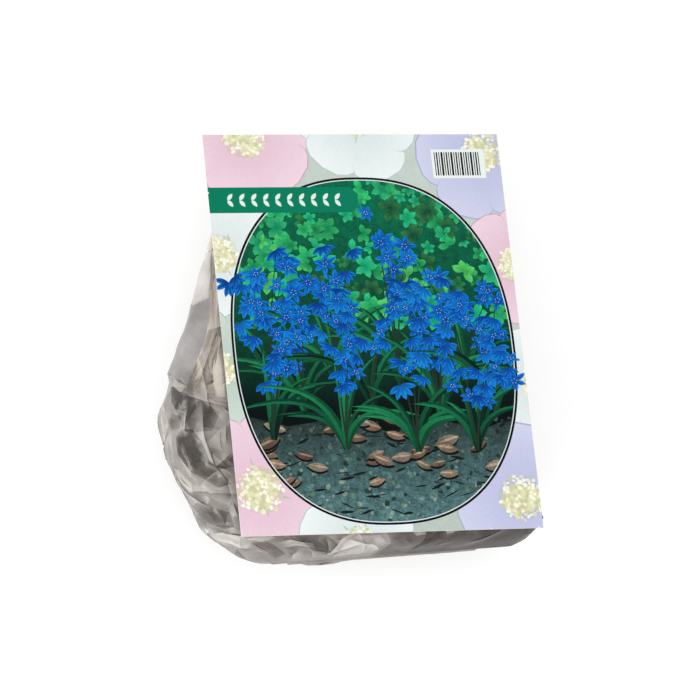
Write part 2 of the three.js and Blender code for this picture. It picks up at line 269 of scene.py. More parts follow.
SOIL = [ink(88, 126, 126), ink(108, 144, 136), ink(64, 92, 90), ink(134, 148, 136),
        ink(40, 60, 58), ink(96, 128, 108)]
DRY_LEAVES = [ink(126, 106, 86), ink(158, 132, 110), ink(98, 78, 64), ink(140, 128, 112)]
SOIL_TOP = [(4, 64), (30, 57), (52, 60), (84, 53), (112, 58), (136, 54), (157, 62)]
lay(SOIL_TOP + [(157, 0), (4, 0)], fade(ink(82, 118, 120), ink(34, 46, 42), (0, 6), (0, 62)),
    panel, 1.0)
for _ in range(420):
    x = vary(6, 154)
    y = 6 + 54 * card_rng.random() ** 1.2
    lay(pebble_outline(card_rng, (x, y), vary(0.5, 1.9), 5),
        mixed(pick(SOIL), ink(16, 20, 22), max(0.0, (y - 20) / 55)), panel, 0.8)
for _ in range(70):
    spot = (vary(8, 152), vary(8, 58))
    crack = petal_outline(vary(4, 11), vary(0.6, 1.8), 1.0, 4)
    lay(turned(crack, vary(-0.5, 0.5), spot), ink(18, 24, 26), panel, 0.4)
for _ in range(34):
    spot = (vary(8, 146), vary(22, 60))
    brown = pick(DRY_LEAVES)
    length, angle = vary(8, 15), vary(-0.5, 0.5) + pick((0, 3.14))
    for drop, share, paint in (
        (-1.2, 1.05, ink(14, 16, 18)),
        (0.0, 1.0, fade(mixed(brown, ink(30, 26, 24), 0.5), brown,
                        (spot[0], spot[1] - 3), (spot[0], spot[1] + 4))),
        (0.6, 0.8, mixed(brown, ink(214, 190, 164), 0.35)),
    ):
        outline = petal_outline(length * share, length * (0.42 if share > 0.9 else 0.1), 0.9, 6)
        lay(turned(outline, angle, (spot[0], spot[1] + drop)), paint, panel, 0.7)

# Clumps of strap leaves with sprays of blue star flowers, the far ones first.
LEAVES = [ink(0, 52, 40), ink(2, 70, 50), ink(8, 104, 68), ink(2, 84, 60), ink(20, 124, 78)]
BLUES = [ink(0, 88, 190), ink(0, 106, 208), ink(0, 74, 170), ink(16, 132, 222), ink(6, 96, 198)]
DEEP_BLUE, BRIGHT_BLUE = ink(0, 28, 100), ink(22, 148, 234)
STEM = ink(30, 52, 38)


def blue_petal(centre, length, width, angle, tone, within, squash=1.0, facing=0.0):
    """One petal: dark at its foot, with a dark rib and a light streak."""
    tip = turned([(length, 0)], angle, centre, squash, facing)[0]
    dark, light = mixed(tone, DEEP_BLUE, 0.6), mixed(tone, BRIGHT_BLUE, 0.35)
    streak = petal_outline(length * 0.5, width * 0.18, 1.0, 3)
    for outline, paint, grain in (
        (petal_outline(length, width, 1.05), fade(dark, light, centre, tip), 0.35),
        (petal_outline(length * 0.85, width * 0.2, 1.0, 3), mixed(tone, DEEP_BLUE, 0.55), 0.1),
        ([(x + length * 0.38, y + width * 0.26) for x, y in streak],
         mixed(tone, BRIGHT_BLUE, 0.75), 0.1),
    ):
        lay(turned(outline, angle, centre, squash, facing), paint, within, grain)


def star_flower(centre, radius, within):
    """Six narrow petals seen at a slant, with pale anthers."""
    squash, facing = vary(0.5, 0.95), vary(-0.9, 0.9)
    blue, start = pick(BLUES), vary(0, math.pi)
    for k in sorted(range(6), key=lambda k: -math.sin(start + k * math.pi / 3)):
        angle = start + k * math.pi / 3 + vary(-0.12, 0.12)
        blue_petal(centre, radius * vary(0.88, 1.12), radius * 0.44, angle,
                   mixed(blue, pick(BLUES), 0.5), within, squash, facing)
    for k in range(5):
        dot = turned([(radius * 0.2, 0)], start + k * 2 * math.pi / 5, centre, squash, facing)[0]
        lay(round_outline(dot, 0.32, 0.32, 2, 5), ink(150, 186, 220), within)


def nodding_flower(centre, radius, within):
    """A flower that hangs, seen from its side: narrow petals spread below a short stalk."""
    blue = pick(BLUES)
    hang = -math.pi / 2 + vary(-0.6, 0.6)
    for k, spread in enumerate((-1.15, 1.15, -0.6, 0.6, 0.05)):
        tone = mixed(blue, DEEP_BLUE, 0.32 - 0.08 * k)
        blue_petal(centre, radius * vary(0.95, 1.3), radius * 0.42,
                   hang + spread + vary(-0.15, 0.15), tone, within)


def clump(root, leaf_count, stem_count, reach, within):
    """One plant: leaves fan out from its root, and stems carry flowers above them."""
    for k in range(leaf_count):
        lean = vary(-1.2, 1.2)
        length = reach * vary(0.6, 1.05)
        bend = (root[0] + 0.25 * length * math.sin(lean * 0.4), root[1] + 0.6 * length)
        tip = (root[0] + length * math.sin(lean), root[1] + length * math.cos(lean) * 0.85)
        green, width = pick(LEAVES), vary(3.6, 6.6)
        dark = mixed(green, ink(0, 24, 16), 0.5)
        light = mixed(green, ink(50, 176, 110), 0.25)
        for first, last, paint in (
            (-1.0, 1.0, fade(mixed(dark, ink(0, 12, 8), 0.6), dark, root, tip)),
            (-0.1, 0.9, fade(dark, light, root, tip)),
        ):
            lay(strap_outline(root, bend, tip, width, first, last), paint, within, 0.3)
    for k in range(stem_count):
        lean = vary(-0.45, 0.45)
        length = reach * vary(0.85, 1.3)
        bend = (root[0] + 0.1 * length * math.sin(lean), root[1] + 0.5 * length)
        tip = (root[0] + length * math.sin(lean), root[1] + length * math.cos(lean))
        lay(strap_outline(root, bend, tip, 1.1), STEM, within)
        for n in range(card_rng.randint(3, 5)):
            t = 1 - 0.13 * n
            spot = (root[0] + (tip[0] - root[0]) * t * t + vary(-5, 5),
                    root[1] + (tip[1] - root[1]) * t + vary(-3, 3))
            kind = star_flower if card_rng.random() < 0.45 else nodding_flower
            kind(spot, vary(5.2, 7.4), within)


CLUMPS = [
    # root x and y, leaves, stems, reach
    (24, 76, 6, 3, 62), (58, 80, 6, 4, 66), (92, 78, 6, 4, 70), (128, 76, 6, 3, 64),
    (40, 62, 8, 3, 60), (76, 64, 8, 4, 66), (112, 60, 8, 4, 64), (142, 62, 6, 3, 60),
    (22, 50, 8, 3, 56), (60, 44, 9, 3, 60), (98, 42, 9, 3, 58), (130, 42, 8, 3, 56),
]
for root_x, root_y, leaf_count, stem_count, reach in CLUMPS:
    clump((root_x, root_y), leaf_count, stem_count, reach, panel)

# Two sprays stand out over the panel's edge.
SPRAYS = [(15, 128, 12), (146, 92, 10)]
for spray_x, spray_y, count in SPRAYS:
    for _ in range(count):
        spot = (spray_x + vary(-9, 9), spray_y + vary(-14, 14))
        kind = star_flower if card_rng.random() < 0.5 else nodding_flower
        kind(spot, vary(5.6, 7.4), sheet)

# A green band with a plain row of leaves, and a white patch with a block of even bars.
BAND_FOOT, BAND_HEAD, BAND_END = 172, 186, 76
lay([(0, BAND_FOOT), (BAND_END, BAND_FOOT), (BAND_END + 4, BAND_FOOT + 4),
     (BAND_END + 4, BAND_HEAD - 4), (BAND_END, BAND_HEAD), (0, BAND_HEAD)],
    ink(0, 124, 92), sheet, 0.05)
for k in range(10):
    for lean in (0.9, -0.9):
        spot = (10 + 6.4 * k, (BAND_FOOT + BAND_HEAD) / 2)
        lay(turned(petal_outline(4.6, 2.2, 0.9, 5), lean, spot), ink(226, 240, 232), sheet, 0.0)
BARS_LEFT, BARS_FOOT, BARS_RIGHT, BARS_HEAD, PATCH_MARGIN = 124, 192, 150, 205, 1.5
lay(box_outline(BARS_LEFT - PATCH_MARGIN, BARS_FOOT - PATCH_MARGIN,
                BARS_RIGHT + PATCH_MARGIN, BARS_HEAD + PATCH_MARGIN),
    ink(238, 244, 240), sheet, 0.0)
BAR_WIDTHS, BAR_GAP = (0.5, 0.8, 0.5, 1.1), 0.62
bar_x = BARS_LEFT
for wide in BAR_WIDTHS * 5:
    if bar_x + wide < BARS_RIGHT:
        lay(box_outline(bar_x, BARS_FOOT, bar_x + wide, BARS_HEAD), ink(20, 24, 30), sheet, 0.0)
    bar_x += wide + BAR_GAP

# Handling has chipped the print along the card's cut edges.
for _ in range(26):
    along, side = card_rng.random(), pick("flr")
    spot = {"f": (CARD_WIDTH * along, 0), "l": (0, CARD_HEIGHT * along),
            "r": (CARD_WIDTH, CARD_HEIGHT * along)}[side]
    lay(pebble_outline(card_rng, spot, vary(0.25, 0.9), 6), ink(238, 238, 234), sheet, 0.0)


def cut_plane(outlines, loose_points, snap):
    """Cuts a plane along outlines. Returns its points, its faces and what outlines cover each."""
    points, rings = [], []
    for outline in outlines:
        area = sum(a.x * b.y - b.x * a.y for a, b in zip(outline, outline[1:] + outline[:1]))
        rings.append(list(range(len(points), len(points) + len(outline))))
        points.extend(outline if area > 0 else outline[::-1])
    cut = delaunay_2d_cdt(points + loose_points, [], rings, 1, snap, True)
    return cut[0], cut[2], cut[5]


def topmost(sources):
    """The entry that shows on a patch, or None off the sheet."""
    if sheet not in sources:
        return None
    for index in sorted(sources, reverse=True):
        within = drawing[index][2]
        if within is None or within in sources:
            return index


print_points, print_faces, face_sources = cut_plane([entry[0] for entry in drawing], [], 1e-4)
card_bm = bmesh.new()
print_layer = card_bm.loops.layers.float_color.new("print")
shape_layer = card_bm.faces.layers.int.new("shape")
card_verts = [card_bm.verts.new(on_card(x, y)) for x, y in print_points]
for face_points, sources in zip(print_faces, face_sources):
    shown = topmost(sources)
    if shown is None:
        continue
    _, paint, _, grain = drawing[shown]
    face = card_bm.faces.new([card_verts[i] for i in face_points])
    face[shape_layer] = shown
    for loop, i in zip(face.loops, face_points):
        loop[print_layer] = (*(paint(*print_points[i]) if callable(paint) else paint), grain)

# The cuts of shapes that lie hidden under others are taken out again.
card_bm.normal_update()
for edge in card_bm.edges:
    edge.seam = len({face[shape_layer] for face in edge.link_faces}) > 1
bmesh.ops.dissolve_limit(card_bm, angle_limit=math.radians(0.5), verts=card_bm.verts[:],
                         edges=card_bm.edges[:], delimit={"SEAM"})
for edge in card_bm.edges:
    edge.seam = False
card_bm.faces.layers.int.remove(shape_layer)
for vertex in [v for v in card_bm.verts if not v.link_faces]:
    card_bm.verts.remove(vertex)
rim = [edge for edge in card_bm.edges if edge.is_boundary]
for item in bmesh.ops.extrude_edge_only(card_bm, edges=rim)["geom"]:
    if isinstance(item, bmesh.types.BMVert):
        item.co -= card_out * CARD_THICK * MM
bmesh.ops.contextual_create(card_bm, geom=[edge for edge in card_bm.edges if edge.is_boundary])
bmesh.ops.recalc_face_normals(card_bm, faces=card_bm.faces[:])
for face in card_bm.faces:
    face.material_index = 0 if face.normal.dot(card_out) > 0.9 else 1


def new_mesh(name, bm):
    """A mesh from a bmesh, which is then freed."""
    mesh = bpy.data.meshes.new(name)
    bm.to_mesh(mesh)
    bm.free()
    return mesh


printed_card = new_object("printed_card", new_mesh("printed_card", card_bm))


def feed(node, inputs):
    """Gives each input a value, or a link from a socket or from a node's first output."""
    for socket, value in inputs.items():
        if isinstance(value, bpy.types.Node):
            value = value.outputs[0]
        if isinstance(value, bpy.types.NodeSocket):
            node.id_data.links.new(value, node.inputs[socket])
        else:
            node.inputs[socket].default_value = value


def add_node(tree, kind, inputs=None, **options):
    """Adds a node, sets its options and feeds its inputs."""
    made = tree.nodes.new(kind)
    for option, value in options.items():
        setattr(made, option, value)
    feed(made, inputs or {})
    return made


def maths(tree, operation, *values, clamp=False):
    return add_node(
        tree, "ShaderNodeMath", dict(enumerate(values)), operation=operation, use_clamp=clamp)


def vector_maths(tree, operation, *values, **named):
    return add_node(tree, "ShaderNodeVectorMath", {**dict(enumerate(values)), **named},
                    operation=operation)


def noise_fac(tree, scale, detail, roughness=0.5, place=None):
    """Noise over a place, which is the piece's own coordinates when none is given."""
    place = place or add_node(tree, "ShaderNodeTexCoord").outputs["Object"]
    return add_node(tree, "ShaderNodeTexNoise", {
        "Vector": place, "Scale": scale, "Detail": detail, "Roughness": roughness})


def ranged(tree, value, low, high, start=0.0, end=1.0):
    """A value held between low and high, and stretched to run from start to end."""
    return add_node(tree, "ShaderNodeMapRange", {
        "Value": value, "From Min": low, "From Max": high, "To Min": start, "To Max": end})


def blended(tree, share, first, second, **options):
    """A mix of two colours, each a tuple or a node."""
    first, second = ((*c, 1) if isinstance(c, tuple) else c for c in (first, second))
    return add_node(tree, "ShaderNodeMixRGB", {"Fac": share, "Color1": first, "Color2": second},
                    **options)


def ramped(tree, share, stops):
    """A colour that runs through stops, each a share and its colour."""
    made = add_node(tree, "ShaderNodeValToRGB", {"Fac": share})
    while len(made.color_ramp.elements) < len(stops):
        made.color_ramp.elements.new(0.5)
    for element, (place, colour) in zip(made.color_ramp.elements, stops):
        element.position = place
        element.color = (*colour, 1)
    return made


def new_material(name):
    """A material with an empty tree, its Principled shader and its output."""
    material = bpy.data.materials.new(name)
    material.use_nodes = True
    tree = material.node_tree
    tree.nodes.clear()
    shader = add_node(tree, "ShaderNodeBsdfPrincipled")
    add_node(tree, "ShaderNodeOutputMaterial", {"Surface": shader})
    return material, tree, shader


def dress(piece, *materials):
    for material in materials:
        piece.data.materials.append(material)


print_ink, tree, shader = new_material("varnished print")
printed = add_node(tree, "ShaderNodeAttribute", attribute_name="print")
tones = maths(tree, "ADD", noise_fac(tree, 900.0, 3.0, 0.65), noise_fac(tree, 260.0, 4.0, 0.6))
swing = maths(tree, "MULTIPLY", ranged(tree, tones, 0.7, 1.3, -1.0, 1.0), printed.outputs["Alpha"])
gain = maths(tree, "MULTIPLY_ADD", swing, 0.62, 1.0)
feed(shader, {
    "Base Color": vector_maths(tree, "SCALE", printed, Scale=gain), "Roughness": 0.5,
    "Specular IOR Level": 0.04, "Coat Weight": 0.05, "Coat Roughness": 0.12})
board, tree, shader = new_material("white board")
fibres = noise_fac(tree, 700.0, 3.0)
feed(shader, {
    "Base Color": blended(tree, fibres, ink(222, 219, 210), ink(246, 244, 238)), "Roughness": 0.8})
dress(printed_card, print_ink, board)
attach(printed_card, "root")
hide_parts("picture_card")


# ---- Film bag
# A slack bag of thin smoky film, welded flat across its top and along its foot, that hangs round
# the bulbs and lies on its back. Handling has crumpled it into facets and sharp creases.

FILM_FRONT = 1.1
# Distance down from the card's head, half widths left and right, depths of the front and back.
RINGS = [
    (5, 72, 72, FILM_FRONT, 2.9), (16, 73, 73, FILM_FRONT, 3.6), (45, 78.5, 75, FILM_FRONT, 7),
    (70, 85, 78, FILM_FRONT, 18), (95, 92.5, 81, FILM_FRONT, 32), (118, 101.5, 83, FILM_FRONT, 45),
    (140, 107, 84, FILM_FRONT, 54), (165, 105, 84, FILM_FRONT, 59),
    (188, 96.5, 82.5, FILM_FRONT, 59), (203, 87, 81, 1.5, 55), (212, 75.5, 81, 3.5, 47),
    (217.5, 65, 78.5, 13, 39), (220, 58, 71, 26, 29.4),
]
FRONT_SQUARENESS, BACK_SQUARENESS = 4.0, 2.6
FOOT_SQUARER, FOOT_SQUARED = 9, (188, 206)  # the front's right corner squares off over this length
FOOT_SKEW, FOOT_SKEWED = 0.045, (190, 215)  # and the foot's edge runs askew over this one
CELL = 3.3
ROUND_SAMPLES, RING_SAMPLES, CLOSING_ROWS = 720, 600, 2.5
GLUED = [(60, 12, 22), (30, 150, 160)]  # half width, and how far down it starts and ends
LEAST_SLACK, MOST_SLACK = 0.02, 0.15  # how much longer the film is than the smooth bag
HOLD = 0.5  # how firmly the film keeps near the smooth bag
MOST_INWARD, MOST_OUTWARD = 5.0, 0.6
FILM_WALL = 0.12
BULB_GAP, BULB_REACH = 0.7, 9  # film that has sunk less than the reach into a bulb is lifted off
LEAST_DEPTH, FLOOR_GAP = 0.45, 0.3  # how far the film stays behind the card and above the floor
SHARP_CREASE = math.radians(24)


def in_pack(across, down, depth):
    """A point from the card's middle line, its head edge and its back, in millimetres."""
    return on_card(CARD_WIDTH / 2 + across, CARD_HEIGHT - down, -CARD_THICK - depth)


def from_pack(point):
    """How far across, down and behind the card's back a point lies."""
    offset = (point - in_pack(0, 0, 0)) / MM
    return offset.dot(card_right), -offset.dot(card_up), -offset.dot(card_out)


def share_between(value, start, end):
    return min(1.0, max(0.0, (value - start) / (end - start)))


def ring_at(share):
    """The bag's ring at a share of the way through the rings, on a Catmull-Rom curve."""
    place = share * (len(RINGS) - 1)
    first = min(int(place), len(RINGS) - 2)
    t = place - first
    before, after = RINGS[max(first - 1, 0)], RINGS[min(first + 2, len(RINGS) - 1)]
    ring = [
        0.5 * (2 * b + (c - a) * t + (2 * a - 5 * b + 4 * c - d) * t**2
               + (3 * b - a - 3 * c + d) * t**3)
        for a, b, c, d in zip(before, RINGS[first], RINGS[first + 1], after)
    ]
    ring[3] = max(ring[3], FILM_FRONT)
    return ring


def film_point(ring, turn, closed):
    """A point on the smooth bag. Turns run from the right by the back, and closed welds it flat."""
    down, left, right, front, back = ring
    cosine, sine = math.cos(turn), math.sin(turn)
    middle, half_depth = (front + back) / 2, max(0.05, (back - front) / 2 * (1 - closed))
    squareness = BACK_SQUARENESS if sine > 0 else FRONT_SQUARENESS
    if sine < 0 < cosine:
        squareness = BACK_SQUARENESS + FOOT_SQUARER * share_between(down, *FOOT_SQUARED)
    across = (right if cosine > 0 else left) * squared(cosine, squareness)
    depth = middle + half_depth * squared(sine, squareness)
    if abs(across) < CARD_WIDTH / 2 + 2:
        depth = max(depth, FILM_FRONT)
    skew = FOOT_SKEW * across * share_between(down, *FOOT_SKEWED)
    point = in_pack(across, down - skew, depth)
    point.z = max(point.z, 0.2 * MM)
    return point


def even_loop(points, count):
    """Points at even distances round a closed loop."""
    lengths = [0.0]
    for a, b in zip(points, points[1:] + points[:1]):
        lengths.append(lengths[-1] + (b - a).length)
    placed, at = [], 0
    for i in range(count):
        wanted = lengths[-1] * i / count
        while lengths[at + 1] < wanted:
            at += 1
        share = (wanted - lengths[at]) / max(1e-9, lengths[at + 1] - lengths[at])
        placed.append(points[at].lerp(points[(at + 1) % len(points)], share))
    return placed


ring_samples = [ring_at(i / RING_SAMPLES) for i in range(RING_SAMPLES + 1)]
run = [0.0]
for a, b in zip(ring_samples, ring_samples[1:]):
    run.append(run[-1] + sum(math.hypot(b[0] - a[0], b[k] - a[k]) for k in (1, 3, 4)) / 3)
GIRTH, LENGTH = 430.0, run[-1]
film_columns = int(GIRTH / CELL) // 2 * 2
film_rows = int(LENGTH / CELL)
film_rng = random.Random(3)
vary = film_rng.uniform  # from here on, a random size for the film
smooth_rows, at = [], 0
for row in range(film_rows + 1):
    while at < RING_SAMPLES - 1 and run[at + 1] < LENGTH * row / film_rows:
        at += 1
    closed = max(0.0, 0.98 - min(row, film_rows - row) / CLOSING_ROWS)
    loop = [film_point(ring_samples[at], 2 * math.pi * i / ROUND_SAMPLES, closed)
            for i in range(ROUND_SAMPLES)]
    smooth_rows.append(even_loop(loop, film_columns))

film_points, film_faces, film_hold, film_tautness = [], [], [], []
for row, loop in enumerate(smooth_rows):
    for column, point in enumerate(loop):
        across, down, depth = from_pack(point)
        is_welded = row < 3 or row > film_rows - 3
        is_glued = depth < 2 and any(
            abs(across) < half and start < down < end for half, start, end in GLUED)
        wander = 0.4 + 1.2 * (0.5 + 0.5 * noise.noise(point / (30 * MM)))
        film_hold.append(1.0 if is_welded or is_glued else min(1.0, HOLD * wander))
        film_tautness.append(share_between(noise.noise(point / (24 * MM)), -0.35, 0.45))
        film_points.append(point)
for row in range(film_rows):
    for column in range(film_columns):
        a = row * film_columns + column
        b = row * film_columns + (column + 1) % film_columns
        c, d = a + film_columns, b + film_columns
        film_faces += [(a, b, d), (a, d, c)] if film_rng.random() < 0.5 else [(a, b, c), (b, d, c)]

SIM_SCALE = 10  # the solver is made for garments, so the bag is simulated ten times larger
SIM_FRAMES = 24
SMOOTHINGS, SMOOTHING = 2, 0.4
film_mesh = bpy.data.meshes.new("film")
film_mesh.from_pydata([point * SIM_SCALE for point in film_points], [], film_faces)
film = new_object("film", film_mesh)
for label, shares in (("holds", film_hold), ("tautness", film_tautness)):
    group = film.vertex_groups.new(name=label)
    for index, share in enumerate(shares):
        group.add([index], share, "REPLACE")

bulb_bm = bmesh.new()
for name in sorted(nodes):
    if name.startswith("bulb_"):
        bulb_bm.from_mesh(nodes[name].data)
bulb_tree = BVHTree.FromBMesh(bulb_bm)


def settled(piece):
    """Lets the slack film sag and buckle on the bulbs, and returns its points."""
    bmesh.ops.scale(bulb_bm, vec=(SIM_SCALE,) * 3, verts=bulb_bm.verts[:])
    collider = new_object("bulb collider", new_mesh("bulb collider", bulb_bm))
    collider.modifiers.new("Collision", "COLLISION")
    collider.collision.thickness_outer = 0.01
    cloth = piece.modifiers.new("Cloth", "CLOTH")
    settings = cloth.settings
    settings.quality = 6
    settings.mass = 0.1
    settings.tension_stiffness = settings.compression_stiffness = 60
    settings.shear_stiffness = 40
    settings.bending_model = "ANGULAR"
    settings.bending_stiffness = 3
    settings.tension_damping = settings.compression_damping = settings.shear_damping = 10
    settings.bending_damping = 1
    settings.air_damping = 3
    settings.effector_weights.gravity = 0
    settings.vertex_group_mass = "holds"
    settings.vertex_group_shrink = "tautness"
    settings.shrink_min = -MOST_SLACK
    settings.shrink_max = -LEAST_SLACK
    cloth.collision_settings.distance_min = 0.006
    cloth.collision_settings.use_self_collision = False
    for number in range(1, SIM_FRAMES + 1):
        bpy.context.scene.frame_set(number)
    graph = bpy.context.evaluated_depsgraph_get()
    buckled = bpy.data.meshes.new_from_object(piece.evaluated_get(graph))
    piece.modifiers.clear()
    bpy.context.scene.frame_set(1)
    bpy.data.objects.remove(collider)
    unit = MM * SIM_SCALE
    placed = []
    for before, after in zip(piece.data.vertices, buckled.vertices):
        step = after.co - before.co
        if step.length > MOST_INWARD * unit:
            step *= MOST_INWARD * unit / step.length
        outward = step.dot(before.normal)
        if outward > MOST_OUTWARD * unit:
            step -= before.normal * (outward - MOST_OUTWARD * unit)
        placed.append((before.co + step) / SIM_SCALE)
    return placed


def as_rows(points):
    return numpy.array([tuple(point) for point in points])


rest_points = settled(film)
film_grid = as_rows(rest_points).reshape(film_rows + 1, film_columns, 3)
for _ in range(SMOOTHINGS):
    beside = (numpy.roll(film_grid, 1, axis=1) + numpy.roll(film_grid, -1, axis=1)) / 2
    film_grid[1:-1] += SMOOTHING * (beside[1:-1] - film_grid[1:-1])
    film_grid[1:-1] += SMOOTHING * ((film_grid[:-2] + film_grid[2:]) / 2 - film_grid[1:-1])


def film_surface(places):
    """Points on the settled film at places given as millimetres round and along it."""
    round_at = places[:, 0] / GIRTH * film_columns
    along_at = numpy.clip(places[:, 1] / LENGTH * film_rows, 0, film_rows - 1e-6)
    columns, rows = numpy.floor(round_at).astype(int), numpy.floor(along_at).astype(int)
    weights = []
    for t in (round_at - columns, along_at - rows):
        weights.append((-0.5 * t + t**2 - 0.5 * t**3, 1 - 2.5 * t**2 + 1.5 * t**3,
                        0.5 * t + 2 * t**2 - 1.5 * t**3, -0.5 * t**2 + 0.5 * t**3))
    total = numpy.zeros((len(places), 3))
    for i in range(4):
        for j in range(4):
            share = (weights[0][i] * weights[1][j])[:, None]
            row = numpy.clip(rows + j - 1, 0, film_rows)
            total += share * film_grid[row, (columns + i - 1) % film_columns]
    return total


# The folds and creases lie on the film laid out flat. Their points are in thousandths of its girth
# and length. A fold also has its rise, its reach to the left and right, its step in haze, which
# paints light on one side of it and shade on the other, and the width of its crease. A patch has
# its haze, partly the film's own milkiness and partly painted light and shade, how cool its grey
# is, where the flap's cool grey is a painted tint of reflected light, and how clear it is.
FOLDS = [
    ((514, 240, 537, 360, 552, 434, 559, 495, 548, 568), 3, 30, 2.4, 0, 0.9),
    ((551, 576, 524, 526, 480, 497), 2.4, 9, 1.6, 0, 0.4),
    ((531, 260, 550, 360, 562.5, 450, 564, 500, 554, 560), 0.7, 2, 2, 0, 0.5),
    ((515, 548, 550, 588, 580, 607, 600, 615), 2.2, 5, 2.4, -0.25, 0.7),
    ((562, 440, 566, 500, 562, 560), 0.5, 2, 3, 0.35, 0.7),
    ((572, 470, 576, 530, 585, 590), 0.6, 3, 2, -0.35, 0.9),
    ((556, 500, 568, 550, 574, 592), 0.4, 2, 2, 0.3, 0.5),
    ((552, 600, 543, 660), 1, 4, 4, 0.3, 0.4),
    ((566, 600, 565, 676, 567, 742, 575, 785), 1.6, 4, 7, 0.25, 0.5),
    ((567, 742, 590, 718), 0.8, 3, 3, -0.2, 0.7),
    ((567, 742, 570, 708), 0.7, 3, 3, 0.2, 0.6),
    ((567, 742, 583, 755), 0.7, 3, 3, 0.25, 0.5),
    ((567, 742, 557, 728), 0.6, 3, 3, -0.2, 0.4),
    ((492, 735, 505, 775, 529, 824), 1.6, 5, 5, 0.3, 0.7),
    ((580, 765, 560, 820, 552, 885), 1.8, 5, 5, -0.3, 0.6),
    ((500, 685, 512, 735, 520, 775), 1, 4, 4, 0.2, 0.6),
    ((480, 865, 510, 875, 540, 898), 1, 3, 3, 0.35, 0.8),
    ((470, 880, 495, 900, 520, 925), 1, 4, 3, -0.3, 0.7),
    ((556, 930, 575, 925, 600, 942), 0.9, 2.5, 2.5, 0.35, 0.8),
    ((550, 947, 575, 941, 600, 958), 0.7, 2, 2, -0.3, 0.6),
    ((545, 984, 553, 968, 572, 955), 1, 3, 3, 0.35, 0.9),
    ((612, 980, 632, 950, 650, 925), 1, 3, 3, 0.3, 0.8),
    ((612, 980, 640, 963, 675, 945), 0.9, 3, 3, -0.3, 0.8),
    ((612, 980, 620, 950, 625, 925), 0.7, 3, 3, 0.25, 0.5),
    ((655, 935, 690, 950, 712, 975), 0.9, 3, 3, 0.3, 0.7),
]
# Each patch's haze is partly the film's own milkiness and partly painted light and shade.
PATCHES = [
    ((470, 220, 514, 240, 537, 360, 552, 434, 559, 495, 548, 568, 524, 526, 470, 490), 0.02, 1, 0),
    ((460, 120, 535, 120, 530, 190, 514, 240, 537, 360, 520, 372, 505, 360, 470, 400), 0.42, -0.9,
     0),
    ((514, 240, 540, 205, 576, 420, 552, 434, 537, 360), 0.6, -0.4, 0),
    ((535, 330, 542, 345, 556, 415, 564, 475, 561, 545, 555, 555, 557, 480, 548, 420), 0.4, -0.8,
     0),
    ((552, 434, 600, 430, 610, 600, 583, 597, 555, 580, 548, 568, 559, 495), 0.12, -0.5, 0.75),
    ((565, 445, 571, 450, 576, 490, 584, 520, 592, 560, 593, 592, 583, 588, 578, 550, 570, 520,
     564, 485), 0.4, -0.5, -0.3),
    ((515, 548, 550, 588, 580, 607, 580, 597, 552, 574, 520, 532), 0.2, 0, 0),
    ((524, 562, 551, 585, 552, 610, 545, 618, 536, 611, 527, 592), -0.45, -0.3, 0),
    ((480, 590, 512, 590, 524, 640, 512, 720, 485, 700), 0.12, 0, 0),
    ((540, 652, 530, 668, 528, 705, 538, 745, 560, 787, 577, 784, 571, 750, 563.5, 725, 561, 685,
     553, 657), -0.42, -0.3, 0),
    ((505, 715, 520, 730, 530, 765, 517, 785, 503, 755), 0.36, 0, 0),
    ((485, 800, 515, 806, 545, 840, 535, 870, 505, 858, 480, 832), -0.3, -0.2, 0),
    ((465, 835, 500, 866, 525, 895, 500, 920, 460, 880), 0.26, 0, 0),
    ((565, 655, 583, 665, 580, 710, 568, 700), 0.2, 0, 0),
    ((530, 900, 555, 900, 560, 915, 540, 919), 0.35, 0, 0),
    ((528, 912, 545, 917, 545, 965, 520, 975), -0.26, -0.2, 0),
    ((585, 915, 620, 912, 635, 945, 612, 975, 590, 965), -0.26, -0.2, 0),
    ((625, 985, 645, 945, 675, 925, 705, 930, 715, 955, 700, 982), 0.3, 0.2, 0),
    ((715, 900, 1000, 870, 1000, 1000, 700, 1000, 722, 955), -0.32, -0.2, 0),
    ((800, 900, 1000, 870, 1000, 1000, 775, 1000), -0.25, -0.1, 0),
    ((0, 890, 0, 1000, 240, 1000, 170, 950, 80, 930), -0.36, -0.2, 0),
    ((0, 930, 0, 1000, 160, 1000, 70, 965), -0.2, -0.1, 0),
    ((755, 925, 770, 920, 777, 934, 762, 938), 0.6, 0, 0),
    ((805, 928, 830, 922, 832, 934, 810, 937), 0.6, 0, 0),
    ((885, 932, 905, 928, 903, 937), 0.5, 0, 0),
]
FOLD_SIZES = [
    # count, shortest, longest, rise, reach, step of painted light and shade, line width
    (46, 38, 85, 1.5, 8, 0.2, 0.34), (150, 13, 36, 0.8, 4.5, 0.26, 0.26),
    (300, 4, 12, 0.4, 2, 0.26, 0.18),
]
CLUSTER_COUNT, RAYS, RAY_LENGTHS, RAY_RISE, RAY_REACH = 34, (3, 6), (5, 17), 0.9, 3.5
PATCH_COUNT, PATCH_RADII, PATCH_CORNERS, PATCH_HAZE_AND_SHADE = 210, (4, 12), (3, 5), 0.36
PLAIN_HAZE, WELD_TINT = 0.45, (0.5, 0.5, 0.0, 1.0)  # haze with painted light and shade, how cool the painted tint, how clear, and 1
RIM_SHARE, RIM_FADE = 0.55, 5.0  # a patch starts at this share on its rim and is full this far in
SMOOTH_PANEL, UNWELDED = ((0.46, 0.565), (0.2, 0.575)), (0.03, 0.985)
SHEET_STEP, SHEET_RIM = 2.6, 0.4


def is_smooth(place):
    """Whether a place lies on or near the smooth folded panel or the welds."""
    across, along = place.x / GIRTH, place.y / LENGTH
    (left, right), (start, end) = SMOOTH_PANEL
    return (left < across < right and start < along < end) or not UNWELDED[0] < along < UNWELDED[1]


